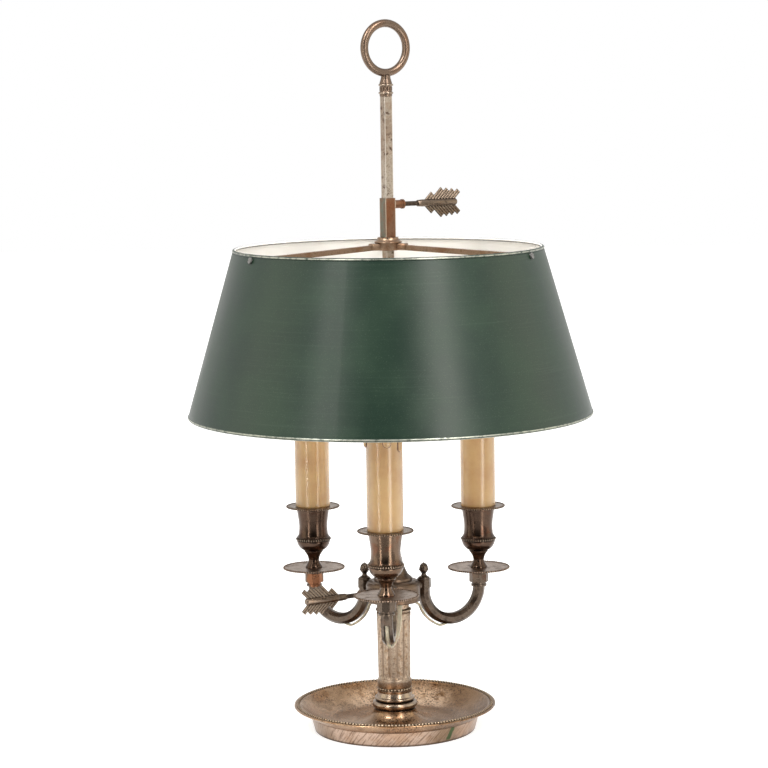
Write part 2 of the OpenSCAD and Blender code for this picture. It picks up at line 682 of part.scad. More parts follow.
// The lampholder screws onto the tube and takes the bulb's cap from above
module holder() color("#e9e4d6") translate([0, 0, holder_z]) difference() {
    outer = sleeve_r - sleeve_wall - 2 * seat;
    turned([[outer - 4, 0], [outer, 4], [outer, holder_h - 2], [outer - 1.4, holder_h - 0.5]]);
    translate([0, 0, -1]) cylinder(r = nipple_r + seat, h = nipple_grip + 3);
    translate([0, 0, holder_h - cap_h]) cylinder(r = cap_r + running, h = cap_h + 1);
    translate([0, 0, nipple_grip + 1]) cylinder(r = nipple_bore_r, h = holder_h);
}

module bulb_cap() color("#b9a77c") translate([0, 0, sleeve_top_z - cap_h]) difference() {
    turned([[2, seat], [cap_r - 2, 2], [cap_r, 4], [cap_r, cap_h - 1], [bulb_neck_r, cap_h]]);
    translate([0, 0, 3]) cylinder(r = cap_r - 3 * glass_t, h = cap_h);
}

// The glass is blown: a shell, open at its neck
function bulb_outline(r, h) = smooth([
    [bulb_neck_r, 0], [bulb_neck_r + 1.4, 0.07 * h], [0.86 * r, 0.24 * h], [r, 0.42 * h],
    [0.92 * r, 0.58 * h], [0.6 * r, 0.78 * h], [0.22 * r, 0.93 * h], [0.02 * r, h]], 5);
module bulb() color("#f1efe8") translate([0, 0, sleeve_top_z + seat / 5]) difference() {
    turned(bulb_outline(bulb_r, bulb_h));
    turned([for (p = bulb_outline(bulb_r, bulb_h - glass_t)) [max(p.x - glass_t, 0.01), p.y]]);
    translate([0, 0, -1]) cylinder(r = bulb_neck_r - glass_t, h = 2);
}

/* ---- wires from the hub to the lampholders ---- */

// Each wire's free run, as [distance from the rod, sideways, height above the hub's underside]
wire_route_side = [[17.4, 0, 6], [17.6, 0, 2], [18.8, 0, -1.8], [21.4, 0, -4]];
wire_route_front = [[17.0, 6.4, 6], [17.2, 6.4, 2], [19.0, 6.6, -2.2], [22.5, 6.8, -7.5],
    [27.0, 6.6, -14], [33.0, 5.6, -21], [40.0, 3.6, -26.8], [47.5, 1.4, -29.4]];
wire_gap = 0.6;

// A point at a turn round the arm's bend, counted as slot_turns are
function round_bend(turn, r) = [bend_x + r * cos(turn), 0, bend_z + r * sin(turn)];
wire_hug_r = bend_r + arm_w / 2 / cos(22.5) + wire_half.y + wire_gap;
wire_slot_r = bend_r + 2.2;
wire_up_arm = [
    round_bend(slot_turns[1] - 4, bend_r + 1),
    [candle_r, 0, bend_z], [candle_r, 0, cup_z], [candle_r, 0, holder_z + nipple_grip - 2]
];
wire_side_arm = [
    for (turn = [200:10:slot_turns[0] - 8]) round_bend(turn, wire_hug_r),
    round_bend(slot_turns[0] - 1, wire_hug_r), round_bend(slot_turns[0] + 7, bend_r + arm_w / 2),
    for (turn = [slot_turns[0] + 16:12:slot_turns[1] - 14]) round_bend(turn, wire_slot_r)
];
wire_front_arm = [
    round_bend(slot_turns[0] + 20, wire_hug_r), round_bend(slot_turns[0] + 31, bend_r + arm_w / 2 + 0.6),
    for (turn = [slot_turns[0] + 42:12:slot_turns[1] - 14]) round_bend(turn, wire_slot_r)
];
function lifted(route) = [for (p = route) p + [0, 0, hub_z]];
function wire_route(i) = i == 0
    ? concat(lifted(wire_route_front), wire_front_arm, wire_up_arm)
    : concat(lifted(wire_route_side), wire_side_arm, wire_up_arm);

// A flat tube of eight sides along a route in an arm's own plane
function unit(v) = v / norm(v);
function heading(p, i) = unit(p[min(i + 1, len(p) - 1)] - p[max(i - 1, 0)]);
module flat_wire(p) {
    rings = [
        for (i = [0:len(p) - 1]) let (t = heading(p, i), up = unit(cross(t, [0, 1, 0])),
            side = cross(up, t))
        for (s = [0:7]) p[i] + side * wire_half.x * cos(45 * s) + up * wire_half.y * sin(45 * s)
    ];
    polyhedron(rings, concat(
        [[for (s = [0:7]) s]],
        [for (i = [0:len(p) - 2], s = [0:7]) let (a = 8 * i, b = (s + 1) % 8)
            [a + s, a + 8 + s, a + 8 + b, a + b]],
        [[for (s = [7:-1:0]) 8 * (len(p) - 1) + s]]
    ));
}

module wire(i) color("#e6e0d0") on_arm(i) flat_wire(wire_route(i));

/* ---- shade and its frame ---- */

// Radius of the shade's outer face at a height
function shade_r(z) = shade_top_r + (shade_top_z - z) * tan(shade_slope);

// Middle of a rolled edge's wire, in the plane of the shade's outline
function hem_at(z) = [shade_r(z) + seat - hem_r, z];
hem_heights = [shade_low_z + hem_r, shade_top_z - hem_r];

// The sheet's edges are rolled inwards round their wires, and the rolls stay open inside
module shade_outline() difference() {
    union() {
        polygon([
            [shade_r(hem_heights[0]) - shade_t, hem_heights[0]], [shade_r(hem_heights[0]), hem_heights[0]],
            [shade_r(hem_heights[1]), hem_heights[1]], [shade_r(hem_heights[1]) - shade_t, hem_heights[1]]
        ]);
        for (z = hem_heights) translate(hem_at(z)) circle(r = hem_r);
    }
    for (z = hem_heights) translate(hem_at(z)) {
        circle(r = hem_r - shade_t);
        translate([-2 * hem_r, -0.25 * hem_r]) square([1.5 * hem_r, 0.5 * hem_r]);
    }
}

module shade_cone() color(shade_green) difference() {
    rotate_extrude() shade_outline();
    for (i = [0:2]) on_bar(i) at_shade_screw() bar_x(shade_screw_r + seat, -6, 4);
}

// The stiffening wires inside the rolled edges
module shade_hem_wires() color(steel) for (z = hem_heights)
    rotate_extrude() translate(hem_at(z)) circle(r = hem_r - shade_t - seat);

// The frame of a screw through the shade's wall: +X out of the wall, at its outer face
module at_shade_screw() translate([shade_r(shade_screw_z), 0, shade_screw_z])
    rotate([0, -shade_slope, 0]) children();

module shade_screws() color(steel) for (i = [0:2]) on_bar(i) at_shade_screw() {
    bar_x(shade_screw_r, -shade_t - tab_t - shade_screw_grip, 0.2);
    difference() {
        bar_x(2.6, 0.1, 1.5);
        translate([1, -3, -0.35]) cube([1, 6, 0.7]);
    }
}

// A bar from the hub's lug to its tab on the shade's wall, grown by a clearance for the lug's slot
module bar_body(grow = 0) {
    x0 = spider_r - 2;
    x1 = shade_r(shade_screw_z) - shade_t - tab_t / 2 - 0.3;
    z0 = spider_z + spider_hub_h / 2;
    z1 = shade_screw_z + tab_rise - 0.1 - bar_h / 2;
    half = bar_h / 2 + grow;
    translate([0, bar_w / 2 + grow, 0]) rotate([90, 0, 0]) linear_extrude(bar_w + 2 * grow)
        polygon([[x0 - grow, z0 - half], [x1, z1 - half], [x1, z1 + half], [x0 - grow, z0 + half]]);
}

module spider_bars() color(worn_brass) for (i = [0:2]) on_bar(i) difference() {
    union() {
        bar_body();
        at_shade_screw() translate([-shade_t - tab_t - 0.25, -tab_w / 2, -tab_drop])
            cube([tab_t, tab_w, tab_rise + tab_drop]);
    }
    at_shade_screw() bar_x(shade_screw_r + seat, -shade_t - tab_t - shade_screw_grip - 4 * seat, 1);
}

module spider_hub() color(worn_brass) difference() {
    union() {
        translate([0, 0, spider_z]) turned([
            [spider_r - 0.6, 0], [spider_r, 0.6], [spider_r, spider_hub_h], [spider_r, spider_hub_h + 1.8],
            [spider_r - 2.1, spider_hub_h + 2.2], [spider_r - 2.1, disc_h + spider_hub_h - seat]
        ]);
        for (i = [0:2]) on_bar(i) translate([0, -bar_w / 2 - 2, spider_z])
            cube([lug_r, bar_w + 4, spider_hub_h + 1]);
    }
    for (i = [0:2]) on_bar(i) bar_body(seat);
    rotate(rod_turn) translate([0, 0, spider_z - 1])
        square_bar(rod_side + 2 * rod_fit, spider_hub_h + disc_h + 2);
}

module shade_collar() color(worn_brass) difference() {
    union() {
        rotate(rod_turn) translate([0, 0, collar_z]) square_bar(collar_side, collar_h);
        screw_boss(shade_key_z, 0, collar_side / 2 - 0.5, collar_side / 2 + screw_boss_len);
    }
    rotate(rod_turn) translate([0, 0, collar_z - 1])
        square_bar(rod_side + 2 * rod_fit, collar_h + 2);
    rotate(rod_turn) translate([0, 0, shade_key_z])
        bar_x(screw_bore_r, 0, collar_side / 2 + screw_boss_len + 1);
}

/* ---- arrow screws ---- */

// Place a piece on a screw's axis, with +X away from the rod
module on_shade_key() rotate(rod_turn) translate([0, 0, shade_key_z]) children();
module on_arms_key() rotate(rod_turn + 180) translate([0, 0, arms_key_z]) children();

// Feathers swept back at 45 degrees from a round rib: the first one is cut short, the last ones
// reach as far back as the rib
module arrow(reach) color(patina) difference() {
    pitch = (arrow_len + 1 - 0.85 * arrow_half) / (barbs - 1);
    x0 = reach - arrow_len;
    union() {
        translate([x0 - rib_neck, 0, 0]) rotate([0, 90, 0])
            cylinder(r1 = rib_r - 0.4, r2 = rib_r, h = rib_neck);
        bar_x(rib_r, x0, reach - 1.2);
        translate([reach - 1.2, 0, 0]) rotate([0, 90, 0]) cylinder(r1 = rib_r, r2 = rib_r - 0.9, h = 1.2);
        for (side = [0, 1]) mirror([0, 0, side]) translate([0, barb_t / 2, 0]) rotate([90, 0, 0])
            linear_extrude(barb_t) for (i = [0:barbs - 1]) translate([x0 + pitch * i, 0])
                barb(pitch, i == 0 ? 0.72 * arrow_half : arrow_half * (1 - 0.05 * (i - 1)));
    }
    bar_x(screw_r + seat, x0 - rib_neck - 1, x0 + shank_grip);
}

module barb(pitch, h) polygon([
    [0, 0], [h - 1.4, h - 1.4], [h, h], [h + pitch * 0.62, h - pitch * 0.25], [pitch + 0.4, 0]
]);

module shank(reach) color(steel) bar_x(screw_r, tip_x, reach - arrow_len + shank_grip - 0.5);

module shoe() color("#b08d57") bar_x(screw_r, shoe_x, shoe_x + shoe_t);

/* ---- nodes ---- */

dish();
dish_bead_ring();
foot_ring();
base_felt();
base_nut();
base_washer();
cord_bush();
column_foot();
column_bead_ring();
column_shaft();
column_capital();
center_rod();
ring_socket();
ring_handle();
hub_drum();
hub_bell();
arm_screws();
arm_finials();
cup_nipples();
cup_nuts();
on_arms_key() arrow(arms_key_reach);  // arms_key_arrow
on_arms_key() shank(arms_key_reach);  // arms_key_shank
on_arms_key() shoe();  // arms_key_shoe
shade_collar();
spider_hub();
spider_bars();
shade_screws();
shade_cone();
shade_hem_wires();
on_shade_key() arrow(shade_key_reach);  // shade_key_arrow
on_shade_key() shank(shade_key_reach);  // shade_key_shank
on_shade_key() shoe();  // shade_key_shoe

// The pieces that each arm has one of
places = ["front", "right", "left"];
for (i = [0:2]) {
    on_arm(i) arm();
    at_candle(i) drip_pan();
    at_candle(i) cup();
    at_candle(i) flange();
    at_candle(i) sleeve();
    at_candle(i) holder();
    at_candle(i) bulb_cap();
    at_candle(i) bulb();
    wire(i);
}
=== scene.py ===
import bmesh
import bpy
import math
import numpy as np
from mathutils import Matrix, Vector


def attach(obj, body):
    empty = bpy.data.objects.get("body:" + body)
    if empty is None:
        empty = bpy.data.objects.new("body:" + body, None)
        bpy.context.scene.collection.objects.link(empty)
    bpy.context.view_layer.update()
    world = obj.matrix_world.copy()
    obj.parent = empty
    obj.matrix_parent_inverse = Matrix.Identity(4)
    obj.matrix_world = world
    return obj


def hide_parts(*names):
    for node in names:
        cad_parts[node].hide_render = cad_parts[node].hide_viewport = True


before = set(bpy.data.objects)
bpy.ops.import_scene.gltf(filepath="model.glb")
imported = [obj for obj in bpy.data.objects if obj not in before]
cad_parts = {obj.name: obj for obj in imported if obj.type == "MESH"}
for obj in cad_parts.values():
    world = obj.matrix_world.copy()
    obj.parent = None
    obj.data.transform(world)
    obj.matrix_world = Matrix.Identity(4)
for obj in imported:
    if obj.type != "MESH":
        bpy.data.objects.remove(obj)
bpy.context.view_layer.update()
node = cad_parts
ARMS = ("front", "right", "left")

# %% [markdown]
# A surface is worked out as a grid of points first: rows along an outline, columns around it.
# Neighbouring points make four-sided faces. Where the grid closes on itself, the last column
# meets the first. Blender's own shapes could be bent into the pieces of this lamp, but a grid
# that is worked out keeps every measure in sight. A shell is such a grid as plain arrays. It
# can carry one more number for each point, its gap: 1 at the bottom of a groove or between two
# beads, where old dirt stays, 0 in the open, and -1 on a crest that hands have rubbed bright.
# %% Shells
def shell(grid, around=True, along=True, gap=0.0):
    """Faces between neighbouring points of a grid of rows and columns.

    around joins the last column to the first, and along joins the last row to the first.
    """
    rows, columns = grid.shape[:2]
    i = np.arange(rows if along else rows - 1)[:, None]
    j = np.arange(columns if around else columns - 1)[None, :]
    next_i = (i + 1) % rows
    next_j = (j + 1) % columns
    corners = [i * columns + j, i * columns + next_j, next_i * columns + next_j, next_i * columns + j]
    gap = np.broadcast_to(np.asarray(gap, float), (rows, columns))
    return grid.reshape(-1, 3), np.stack(corners, -1).reshape(-1, 4), gap.ravel()


def turn(degrees):
    """The matrix of a turn about the vertical axis."""
    c, s = math.cos(math.radians(degrees)), math.sin(math.radians(degrees))
    return np.array([[c, -s, 0], [s, c, 0], [0, 0, 1]])


def placed(made, by=np.eye(3), to=(0, 0, 0)):
    """A shell turned by a matrix and then moved."""
    points, quads, gap = made
    return points @ by.T + np.array(to, float), quads, gap


def on_arm(i, made, at=0.0):
    """A shell made at the axis, set out along arm i. Arm 0 points to -Y, the next are 120 degrees on."""
    return placed(placed(made, to=(at, 0, 0)), turn(-90 + 120 * i))


print("a grid of 3 by 4 points that closes both ways has", len(shell(np.zeros((3, 4, 3)))[1]), "faces")

# %% [markdown]
# A piece is one or more shells put into one mesh, in metres, with its finish. It rides on one
# of the moving bodies, and it stands in for the plain solids that it replaces. Each piece could
# do all this for itself, but one function for all of them forgets nothing.
# %% From shells to a piece
MM = 0.001
SAME_POINT = 2e-7  # points nearer than this, in metres, are merged


def piece(name, shells, body, coating, stands_for=(), slot=None, crease=32, **marks):
    """One mesh from shells given in millimetres.

    Points that meet are merged, which closes the poles, and edges sharper than crease degrees
    stay sharp. The gap and each of marks is one number for each point, kept as an attribute of
    that name for the finish to read.
    """
    starts = np.cumsum([0] + [len(s[0]) for s in shells])
    points = np.concatenate([s[0] for s in shells]) * MM
    quads = np.concatenate([s[1] + starts[k] for k, s in enumerate(shells)])
    marks["gap"] = np.concatenate([s[2] for s in shells])
    mesh = bpy.data.meshes.new(name)
    mesh.from_pydata(points.tolist(), [], quads.tolist())
    for label, value in marks.items():
        values = np.asarray(value, np.float32).ravel()
        mesh.attributes.new(label, "FLOAT", "POINT").data.foreach_set("value", values)
    merged = bmesh.new()
    merged.from_mesh(mesh)
    bmesh.ops.remove_doubles(merged, verts=merged.verts, dist=SAME_POINT)
    bmesh.ops.recalc_face_normals(merged, faces=merged.faces)
    merged.to_mesh(mesh)
    merged.free()
    mesh.polygons.foreach_set("use_smooth", np.ones(len(mesh.polygons), bool))
    mesh.set_sharp_from_angle(angle=math.radians(crease))
    o = bpy.data.objects.new(name, mesh)
    bpy.context.scene.collection.objects.link(o)
    mesh.materials.append(coating)
    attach(o, body)
    if stands_for:
        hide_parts(*stands_for)
    print(name, len(mesh.polygons), "faces")


# %% [markdown]
# Most of this lamp was made on a lathe, so most pieces are an outline of radius and height
# that is swept round an axis. A smooth curve through a few points gives the swells, and a half
# circle gives each moulding. A Screw modifier sweeps an outline as well, but here the points
# stay within reach, so that lobes can be pressed into what was turned.
# %% Turned outlines
def smooth(points, steps=7):
    """A curve through the points.

    Between two of them it is the cubic whose slope at each end is half the way between that
    point's neighbours.
    """
    p = np.asarray(points, float)
    q = np.vstack([p[:1], p, p[-1:]])
    t = np.linspace(0, 1, steps, endpoint=False)[None, :, None]
    a, b, c, d = (q[k:len(p) - 1 + k][:, None, :] for k in range(4))
    bent = (2 * a - 5 * b + 4 * c - d) * t**2 + (3 * b - a - 3 * c + d) * t**3
    curve = (2 * b + (c - a) * t + bent) / 2
    return np.vstack([curve.reshape(-1, p.shape[1]), p[-1:]])


def moulding(r, low, high, steps=14):
    """A half circle that stands out from radius r between two heights."""
    a = np.linspace(0, np.pi, steps)
    h = (high - low) / 2
    return np.stack([r + h * np.sin(a), low + h - h * np.cos(a)], -1)


def outline(*parts):
    """Points and curves joined end to end."""
    return np.vstack([np.atleast_2d(np.asarray(p, float)) for p in parts])


def turned(points, steps=128):
    """Each outline point goes round the axis: x is radius times cosine and y radius times sine."""
    p = np.asarray(points, float)
    a = np.linspace(0, 2 * np.pi, steps, endpoint=False)
    r, z = p[:, :1], p[:, 1:]
    return shell(np.stack([r * np.cos(a), r * np.sin(a), z + 0 * a], -1))


print("a moulding from 0 to 2 mm stands out by", moulding(0, 0, 2, 15)[:, 0].max(), "mm")

# %% [markdown]
# Rows of beads were rolled along most edges of this lamp. Each bead could be a ball of its own.
# One tube whose thickness rises and falls looks the same, because the beads touch, and with
# only six rings of points to a bead a row of nearly two hundred stays light.
# %% Rows of beads
BEAD_SIDES, BEAD_RINGS = 8, 6
DRAWN_IN = 0.9  # 1 would close the tube between two beads


def beads(ring_r, z, bead_r, count, dirt=0.0):
    """A ring of beads.

    It is a tube round a circle. Over the length of one bead its radius is that of a half
    circle, so that it draws in between beads. The gap goes from -1 on a bead's crest, or less
    far the more dirt there is, to 1 where two beads meet.
    """
    rings = count * BEAD_RINGS
    a = np.linspace(0, 2 * np.pi, rings, endpoint=False)
    from_crest = (np.arange(rings) % BEAD_RINGS) / BEAD_RINGS * 2 - 1
    thick = bead_r * np.sqrt(1 - (DRAWN_IN * from_crest) ** 2)[None, :]
    w = np.linspace(0, 2 * np.pi, BEAD_SIDES, endpoint=False)[:, None]
    r = ring_r + thick * np.cos(w)
    gap = dirt - (1 - dirt) * np.cos(np.pi * from_crest)
    return shell(np.stack([r * np.cos(a), r * np.sin(a), z + thick * np.sin(w)], -1), gap=gap)


print("one bead has", BEAD_SIDES * BEAD_RINGS, "faces")

# %% [markdown]
# Bars and wires are a small outline carried along a path. At each point of the path the
# outline stands square to it, and one of its directions is kept as close as it can be to a
# chosen side, so that a flat wire lies flat. A curve with a bevel would be shorter to write,
# but it turns its section by rules of its own.
# %% A section along a path
def carried(path, section, side, shrink=1.0):
    """Each point of the section, across and up, goes to path + across * side + up * (side x heading).

    The ends close to a point, and shrink is the section's size at each point of the path.
    """
    p = np.asarray(path, float)
    heading = np.gradient(p, axis=0)
    heading /= np.linalg.norm(heading, axis=1, keepdims=True)
    s = np.asarray(side, float) - (heading @ np.asarray(side, float))[:, None] * heading
    s /= np.linalg.norm(s, axis=1, keepdims=True)
    up = np.cross(s, heading)
    q = np.asarray(section, float)
    size = np.broadcast_to(np.asarray(shrink, float), len(p))[:, None, None]
    rows = p[:, None] + size * (q[None, :, :1] * s[:, None] + q[None, :, 1:] * up[:, None])
    ends = [np.repeat(p[k][None, None], len(q), 1) for k in (0, -1)]
    return shell(np.concatenate([ends[0], rows, ends[1]]), along=False)


square = [(1, 1), (-1, 1), (-1, -1), (1, -1)]
bar = carried([(0, 0, 0), (1, 0, 0), (2, 0, 0)], square, (0, 1, 0))
print("a square bar through three points has", len(bar[1]), "faces")

# %% [markdown]
# A finish is a small tree of nodes that ends in one shader. It could be put together by hand
# in the node editor. A few functions that do it read like a recipe, and can be used again.
# %% Nodes of a finish
def feed(tree, socket, value):
    """A socket gets a value, or a link where the value is another node's output."""
    if isinstance(value, bpy.types.NodeSocket):
        tree.links.new(value, socket)
    else:
        socket.default_value = value


def add(tree, kind, inputs=None, **settings):
    """One node in a tree, with its settings and its inputs."""
    n = tree.nodes.new("ShaderNode" + kind)
    for key, value in settings.items():
        setattr(n, key, value)
    for key, value in (inputs or {}).items():
        feed(tree, n.inputs[key], value)
    return n


def step(m, kind, inputs=None, **settings):
    """One node of a finish."""
    return add(m.node_tree, kind, inputs, **settings)


def give(m, **sockets):
    """Each named input of the finish's shader, with _ for a space, gets a value or a link."""
    shader = m.node_tree.nodes["Principled BSDF"]
    for key, value in sockets.items():
        feed(m.node_tree, shader.inputs[key.replace("_", " ")], value)


def finish(name, **sockets):
    """A new finish, with the values that are the same all over."""
    m = bpy.data.materials.new(name)
    m.use_nodes = True
    give(m, **sockets)
    return m


print("the nodes are those of Blender", bpy.app.version_string)

# %% [markdown]
# Every finish takes the same few steps: a noise read in the piece's own place, a ramp from one
# number to another, and a sum. Images wrapped round the pieces could hold the patterns too, but
# noise has no seams and stays sharp up close.
# %% Steps of a finish
def here(m):
    """The piece's own place, in metres."""
    return step(m, "TexCoord").outputs["Object"]


def axes_here(m):
    """That place's X, Y and Z, each as a number."""
    return step(m, "SeparateXYZ", {0: here(m)}).outputs


def mark(m, name):
    """A number that the mesh carries for each of its points."""
    return step(m, "Attribute", attribute_name=name).outputs["Fac"]


def noise(m, scale, detail=4.0, rough=0.55, where=None, warp=0.0, stretch=None):
    """A number from 0 to 1 that wanders; scale is how many waves there are in a metre.

    stretch multiplies the place first, axis by axis, so the pattern is longer where it is less.
    """
    place = where or here(m)
    if stretch:
        place = step(m, "Mapping", {"Vector": place, "Scale": stretch}).outputs[0]
    inputs = {"Vector": place, "Scale": scale, "Detail": detail, "Roughness": rough, "Distortion": warp}
    return step(m, "TexNoise", inputs).outputs[0]


def between(m, value, low, high, to_low=0.0, to_high=1.0):
    """value, as it goes from low to high, goes softly from to_low to to_high."""
    inputs = {"Value": value, "From Min": low, "From Max": high, "To Min": to_low, "To Max": to_high}
    return step(m, "MapRange", inputs, interpolation_type="SMOOTHSTEP").outputs[0]


def calc(m, operation, a, b=0.0):
    """One sum on one or two numbers."""
    return step(m, "Math", {0: a, 1: b}, operation=operation).outputs[0]


def product(m, first, *others):
    """All the numbers multiplied together."""
    for other in others:
        first = calc(m, "MULTIPLY", first, other)
    return first


def most(m, first, *others):
    """The largest of the numbers."""
    for other in others:
        first = calc(m, "MAXIMUM", first, other)
    return first


def frayed(m, value, fray, scale, detail=4.0, rough=0.55):
    """value plus a noise of up to fray, so that what begins at a value has a ragged edge."""
    return calc(m, "ADD", value, product(m, noise(m, scale, detail, rough), fray))


print("a noise of scale 900 has waves of", round(1 / (900 * MM), 1), "mm")

# %% [markdown]
# Such a number blends two colours, or stands for a height. Small relief could be real, with
# millions of points. Bump only turns the light, and that is enough for marks much finer than
# the pieces. Colours are written as they are seen, and worked out as the shader wants them.
# %% Colour and bump
def blend(m, share, first, second):
    """share of the second colour over the first."""
    mix = step(m, "Mix", data_type="RGBA")
    factor = next(s for s in mix.inputs if s.name == "Factor" and s.type == "VALUE")
    colours = [s for s in mix.inputs if s.type == "RGBA"]
    for socket, value in zip((factor, *colours), (share, first, second)):
        feed(m.node_tree, socket, value)
    return next(s for s in mix.outputs if s.type == "RGBA")


def relief(m, height, depth, under=None):
    """Bump from a height of 0 to 1 that stands for depth metres, over the bump under it."""
    inputs = {"Height": height, "Strength": 1.0, "Distance": depth}
    if under:
        inputs["Normal"] = under
    return step(m, "Bump", inputs).outputs[0]


def paint(*rgb):
    """A colour given as it is seen, from 0 to 255, as the shader wants it."""
    c = np.array(rgb, float) / 255
    return (*np.where(c <= 0.04045, c / 12.92, ((c + 0.055) / 1.055) ** 2.4), 1.0)


print("middle grey is", round(float(paint(128, 128, 128)[0]), 3), "for the shader")

# %% [markdown]
# The metal is old silver plate on brass. Where it is rubbed it is a pale warm grey, where the
# plate has gone it shows copper, and brown tarnish stays in the hollows and in small dark
# specks. One recipe makes all of it, and each part of the lamp has its own mixture. The
# tarnish could be painted on the meshes, but a recipe that reads the place and the hollows
# fits every piece, and all of it can be changed in one line.
# %% Old silver plate
RUBBED_BRIGHT = paint(222, 206, 186)
POCKET = 0.003  # how far a hollow's walls may stand apart, in metres, to keep its dirt
LATHE_MARKS = (25, 25, 1700)  # drawn out round the piece and fine along its axis


def old_plate(name, pale, warm, dark, warm_from, dark_from, rough, blotch=60.0, speck=900.0,
              specks=0.5, hollow=0.6, lumps=0.00004, over=(), wide=0.2, grain=0.000014,
              rubbed=0.75, film_share=0.7, lathe=0.0, bevel=0.0003):
    """Warm patches over the pale plate, then tarnish, then what is rubbed bright.

    The tarnish lies in larger blotches, in fine specks, in the hollows and where the attribute
    gap is near 1, and it is duller than the plate. Where gap is below 0 the crest is rubbed
    bright. Each of over is a share and a colour that goes on last. blotch and speck are waves
    in a metre; lumps, grain and lathe are depths in metres, the last one of the fine turning
    marks that run level round the piece; bevel is the radius that its edges look worn to.
    """
    m = finish(name, Metallic=1.0)
    patches = noise(m, blotch, 5.0, 0.6, warp=0.4)
    colour = blend(m, between(m, patches, warm_from, warm_from + 0.16), pale, warm)
    film = noise(m, blotch * 2.3, 6.0, 0.65, warp=0.6)
    stain = between(m, film, dark_from, dark_from + wide, 0.0, film_share)
    fine = between(m, noise(m, speck, 3.0, 0.7), 0.54, 0.68, 0.0, specks)
    walls = step(m, "AmbientOcclusion", {"Distance": POCKET}, samples=4, only_local=True).outputs["AO"]
    pocket = between(m, walls, 0.35, 0.85, hollow, 0.0)
    gap = mark(m, "gap")
    share = most(m, stain, fine, pocket, between(m, gap, 0.1, 0.9))
    colour = blend(m, share, colour, dark)
    colour = blend(m, between(m, gap, -0.1, -0.9, 0.0, rubbed), colour, RUBBED_BRIGHT)
    for share_of, tint in over:
        colour = blend(m, share_of(m), colour, tint)
    dull = calc(m, "ADD", between(m, film, 0.3, 0.7, *rough), product(m, share, 0.14))
    normal = step(m, "Bevel", {"Radius": bevel}, samples=4).outputs[0] if bevel else None
    normal = relief(m, noise(m, speck * 0.7, 4.0, 0.6), grain, normal)
    if lathe:
        normal = relief(m, noise(m, 1.0, 2.0, 0.6, stretch=LATHE_MARKS), lathe, normal)
    normal = relief(m, noise(m, blotch * 1.2, 2.0), lumps, normal)
    give(m, Base_Color=colour, Roughness=dull, Normal=normal)
    print("mixed", name)
    return m


# %% [markdown]
# The foot ring has marks of its own: a green run of verdigris and the streaks of a cloth. Two
# more are painted light: shade at both sides, where the wall turns from the light, and a dark
# line where it meets the table, which is dirt with a painted contact shadow. They could be
# painted by hand.
# As formulas each is a share from 0 to 1 that depends on the place on the wall: how far along
# from the front, and how high.
# %% Marks of age and painted shade on the foot ring
RING_WALL_R = 0.07


def round_foot(m):
    """The way along the foot ring's wall, counted from the front, and the height, in metres."""
    axes = axes_here(m)
    bearing = calc(m, "ARCTAN2", axes["X"], product(m, axes["Y"], -1.0))
    return product(m, bearing, RING_WALL_R), axes["Z"]


def verdigris(m):
    """A green run down the foot ring, 4 mm wide with a ragged edge, a little aslant."""
    along, height = round_foot(m)
    middle = calc(m, "ADD", product(m, height, 0.35), 0.0522)
    off = calc(m, "ABSOLUTE", calc(m, "SUBTRACT", along, middle))
    ragged = frayed(m, off, 0.0032, 420.0, 4.0, 0.7)
    return product(m, between(m, ragged, 0.0032, 0.0046, 0.85, 0.0), between(m, height, 0.0012, 0.003))


def wiped(m):
    """Dark streaks as a cloth left them: noise drawn out along a line 50 degrees from level."""
    along, height = round_foot(m)
    flat = step(m, "CombineXYZ", {"X": along, "Y": height}).outputs[0]
    aslant = step(m, "Mapping", {"Vector": flat, "Rotation": (0, 0, math.radians(-50))}).outputs[0]
    streaks = noise(m, 1.0, 4.0, 0.6, where=aslant, stretch=(60, 700, 1))
    return between(m, streaks, 0.47, 0.62, 0.0, 0.65)


def bottom_dirt_and_shadow(m):
    """A thin dark line along the foot ring's lowest 2 mm: dirt and a painted contact shadow."""
    return between(m, axes_here(m)["Z"], 0.0006, 0.0022, 0.8, 0.0)


def painted_side_shade(m):
    """Painted shade, ragged brown, 30 to 65 mm along on the right and weaker on the left."""
    along = round_foot(m)[0]
    wander = frayed(m, along, 0.016, 90.0, 4.0, 0.6)
    begins = between(m, wander, 0.036, 0.052)
    right = product(m, begins, between(m, wander, 0.066, 0.076, 0.66, 0.0))
    return most(m, right, between(m, wander, -0.050, -0.040, 0.5, 0.0))


print("verdigris, wiped, bottom_dirt_and_shadow and painted_side_shade are for the foot ring")

# %% [markdown]
# The dish is worn to the copper and pitted. Behind the column, bright patches on the wall are a
# painted reflection of the backdrop, on the right the dish is browner, and dark rays on the front
# of the raised centre are a painted reflection of the column's foot. These marks depend on the
# distance from the rod's axis and on the direction from it.
# %% Marks of age and painted reflections in the dish
def from_rod(m):
    """The distance of a place from the rod's axis, in metres."""
    flat = step(m, "VectorMath", {0: here(m), 1: (1, 1, 0)}, operation="MULTIPLY").outputs["Vector"]
    return step(m, "VectorMath", {0: flat}, operation="LENGTH").outputs["Value"]


def pitted(m):
    """Fine dark pits of about 1 mm: a fine noise times a wide one, so they are dense in places."""
    dense = between(m, noise(m, 22.0, 3.0, 0.5), 0.38, 0.60, 0.2, 0.95)
    return product(m, between(m, noise(m, 640.0, 4.0, 0.75), 0.50, 0.60), dense)


def painted_wall_reflection(m):
    """Painted reflection: bright wall patches 50 to 80 mm from the axis, behind it, under 52 mm aside."""
    reach = from_rod(m)
    axes = axes_here(m)
    ring = product(m, between(m, reach, 0.050, 0.056), between(m, reach, 0.070, 0.080, 1.0, 0.0))
    patch = between(m, noise(m, 110.0, 6.0, 0.75), 0.38, 0.50)
    behind = between(m, axes["Y"], 0.036, 0.052, 0.0, 0.95)
    aside = between(m, calc(m, "ABSOLUTE", axes["X"]), 0.030, 0.052, 1.0, 0.0)
    return product(m, ring, patch, behind, aside)


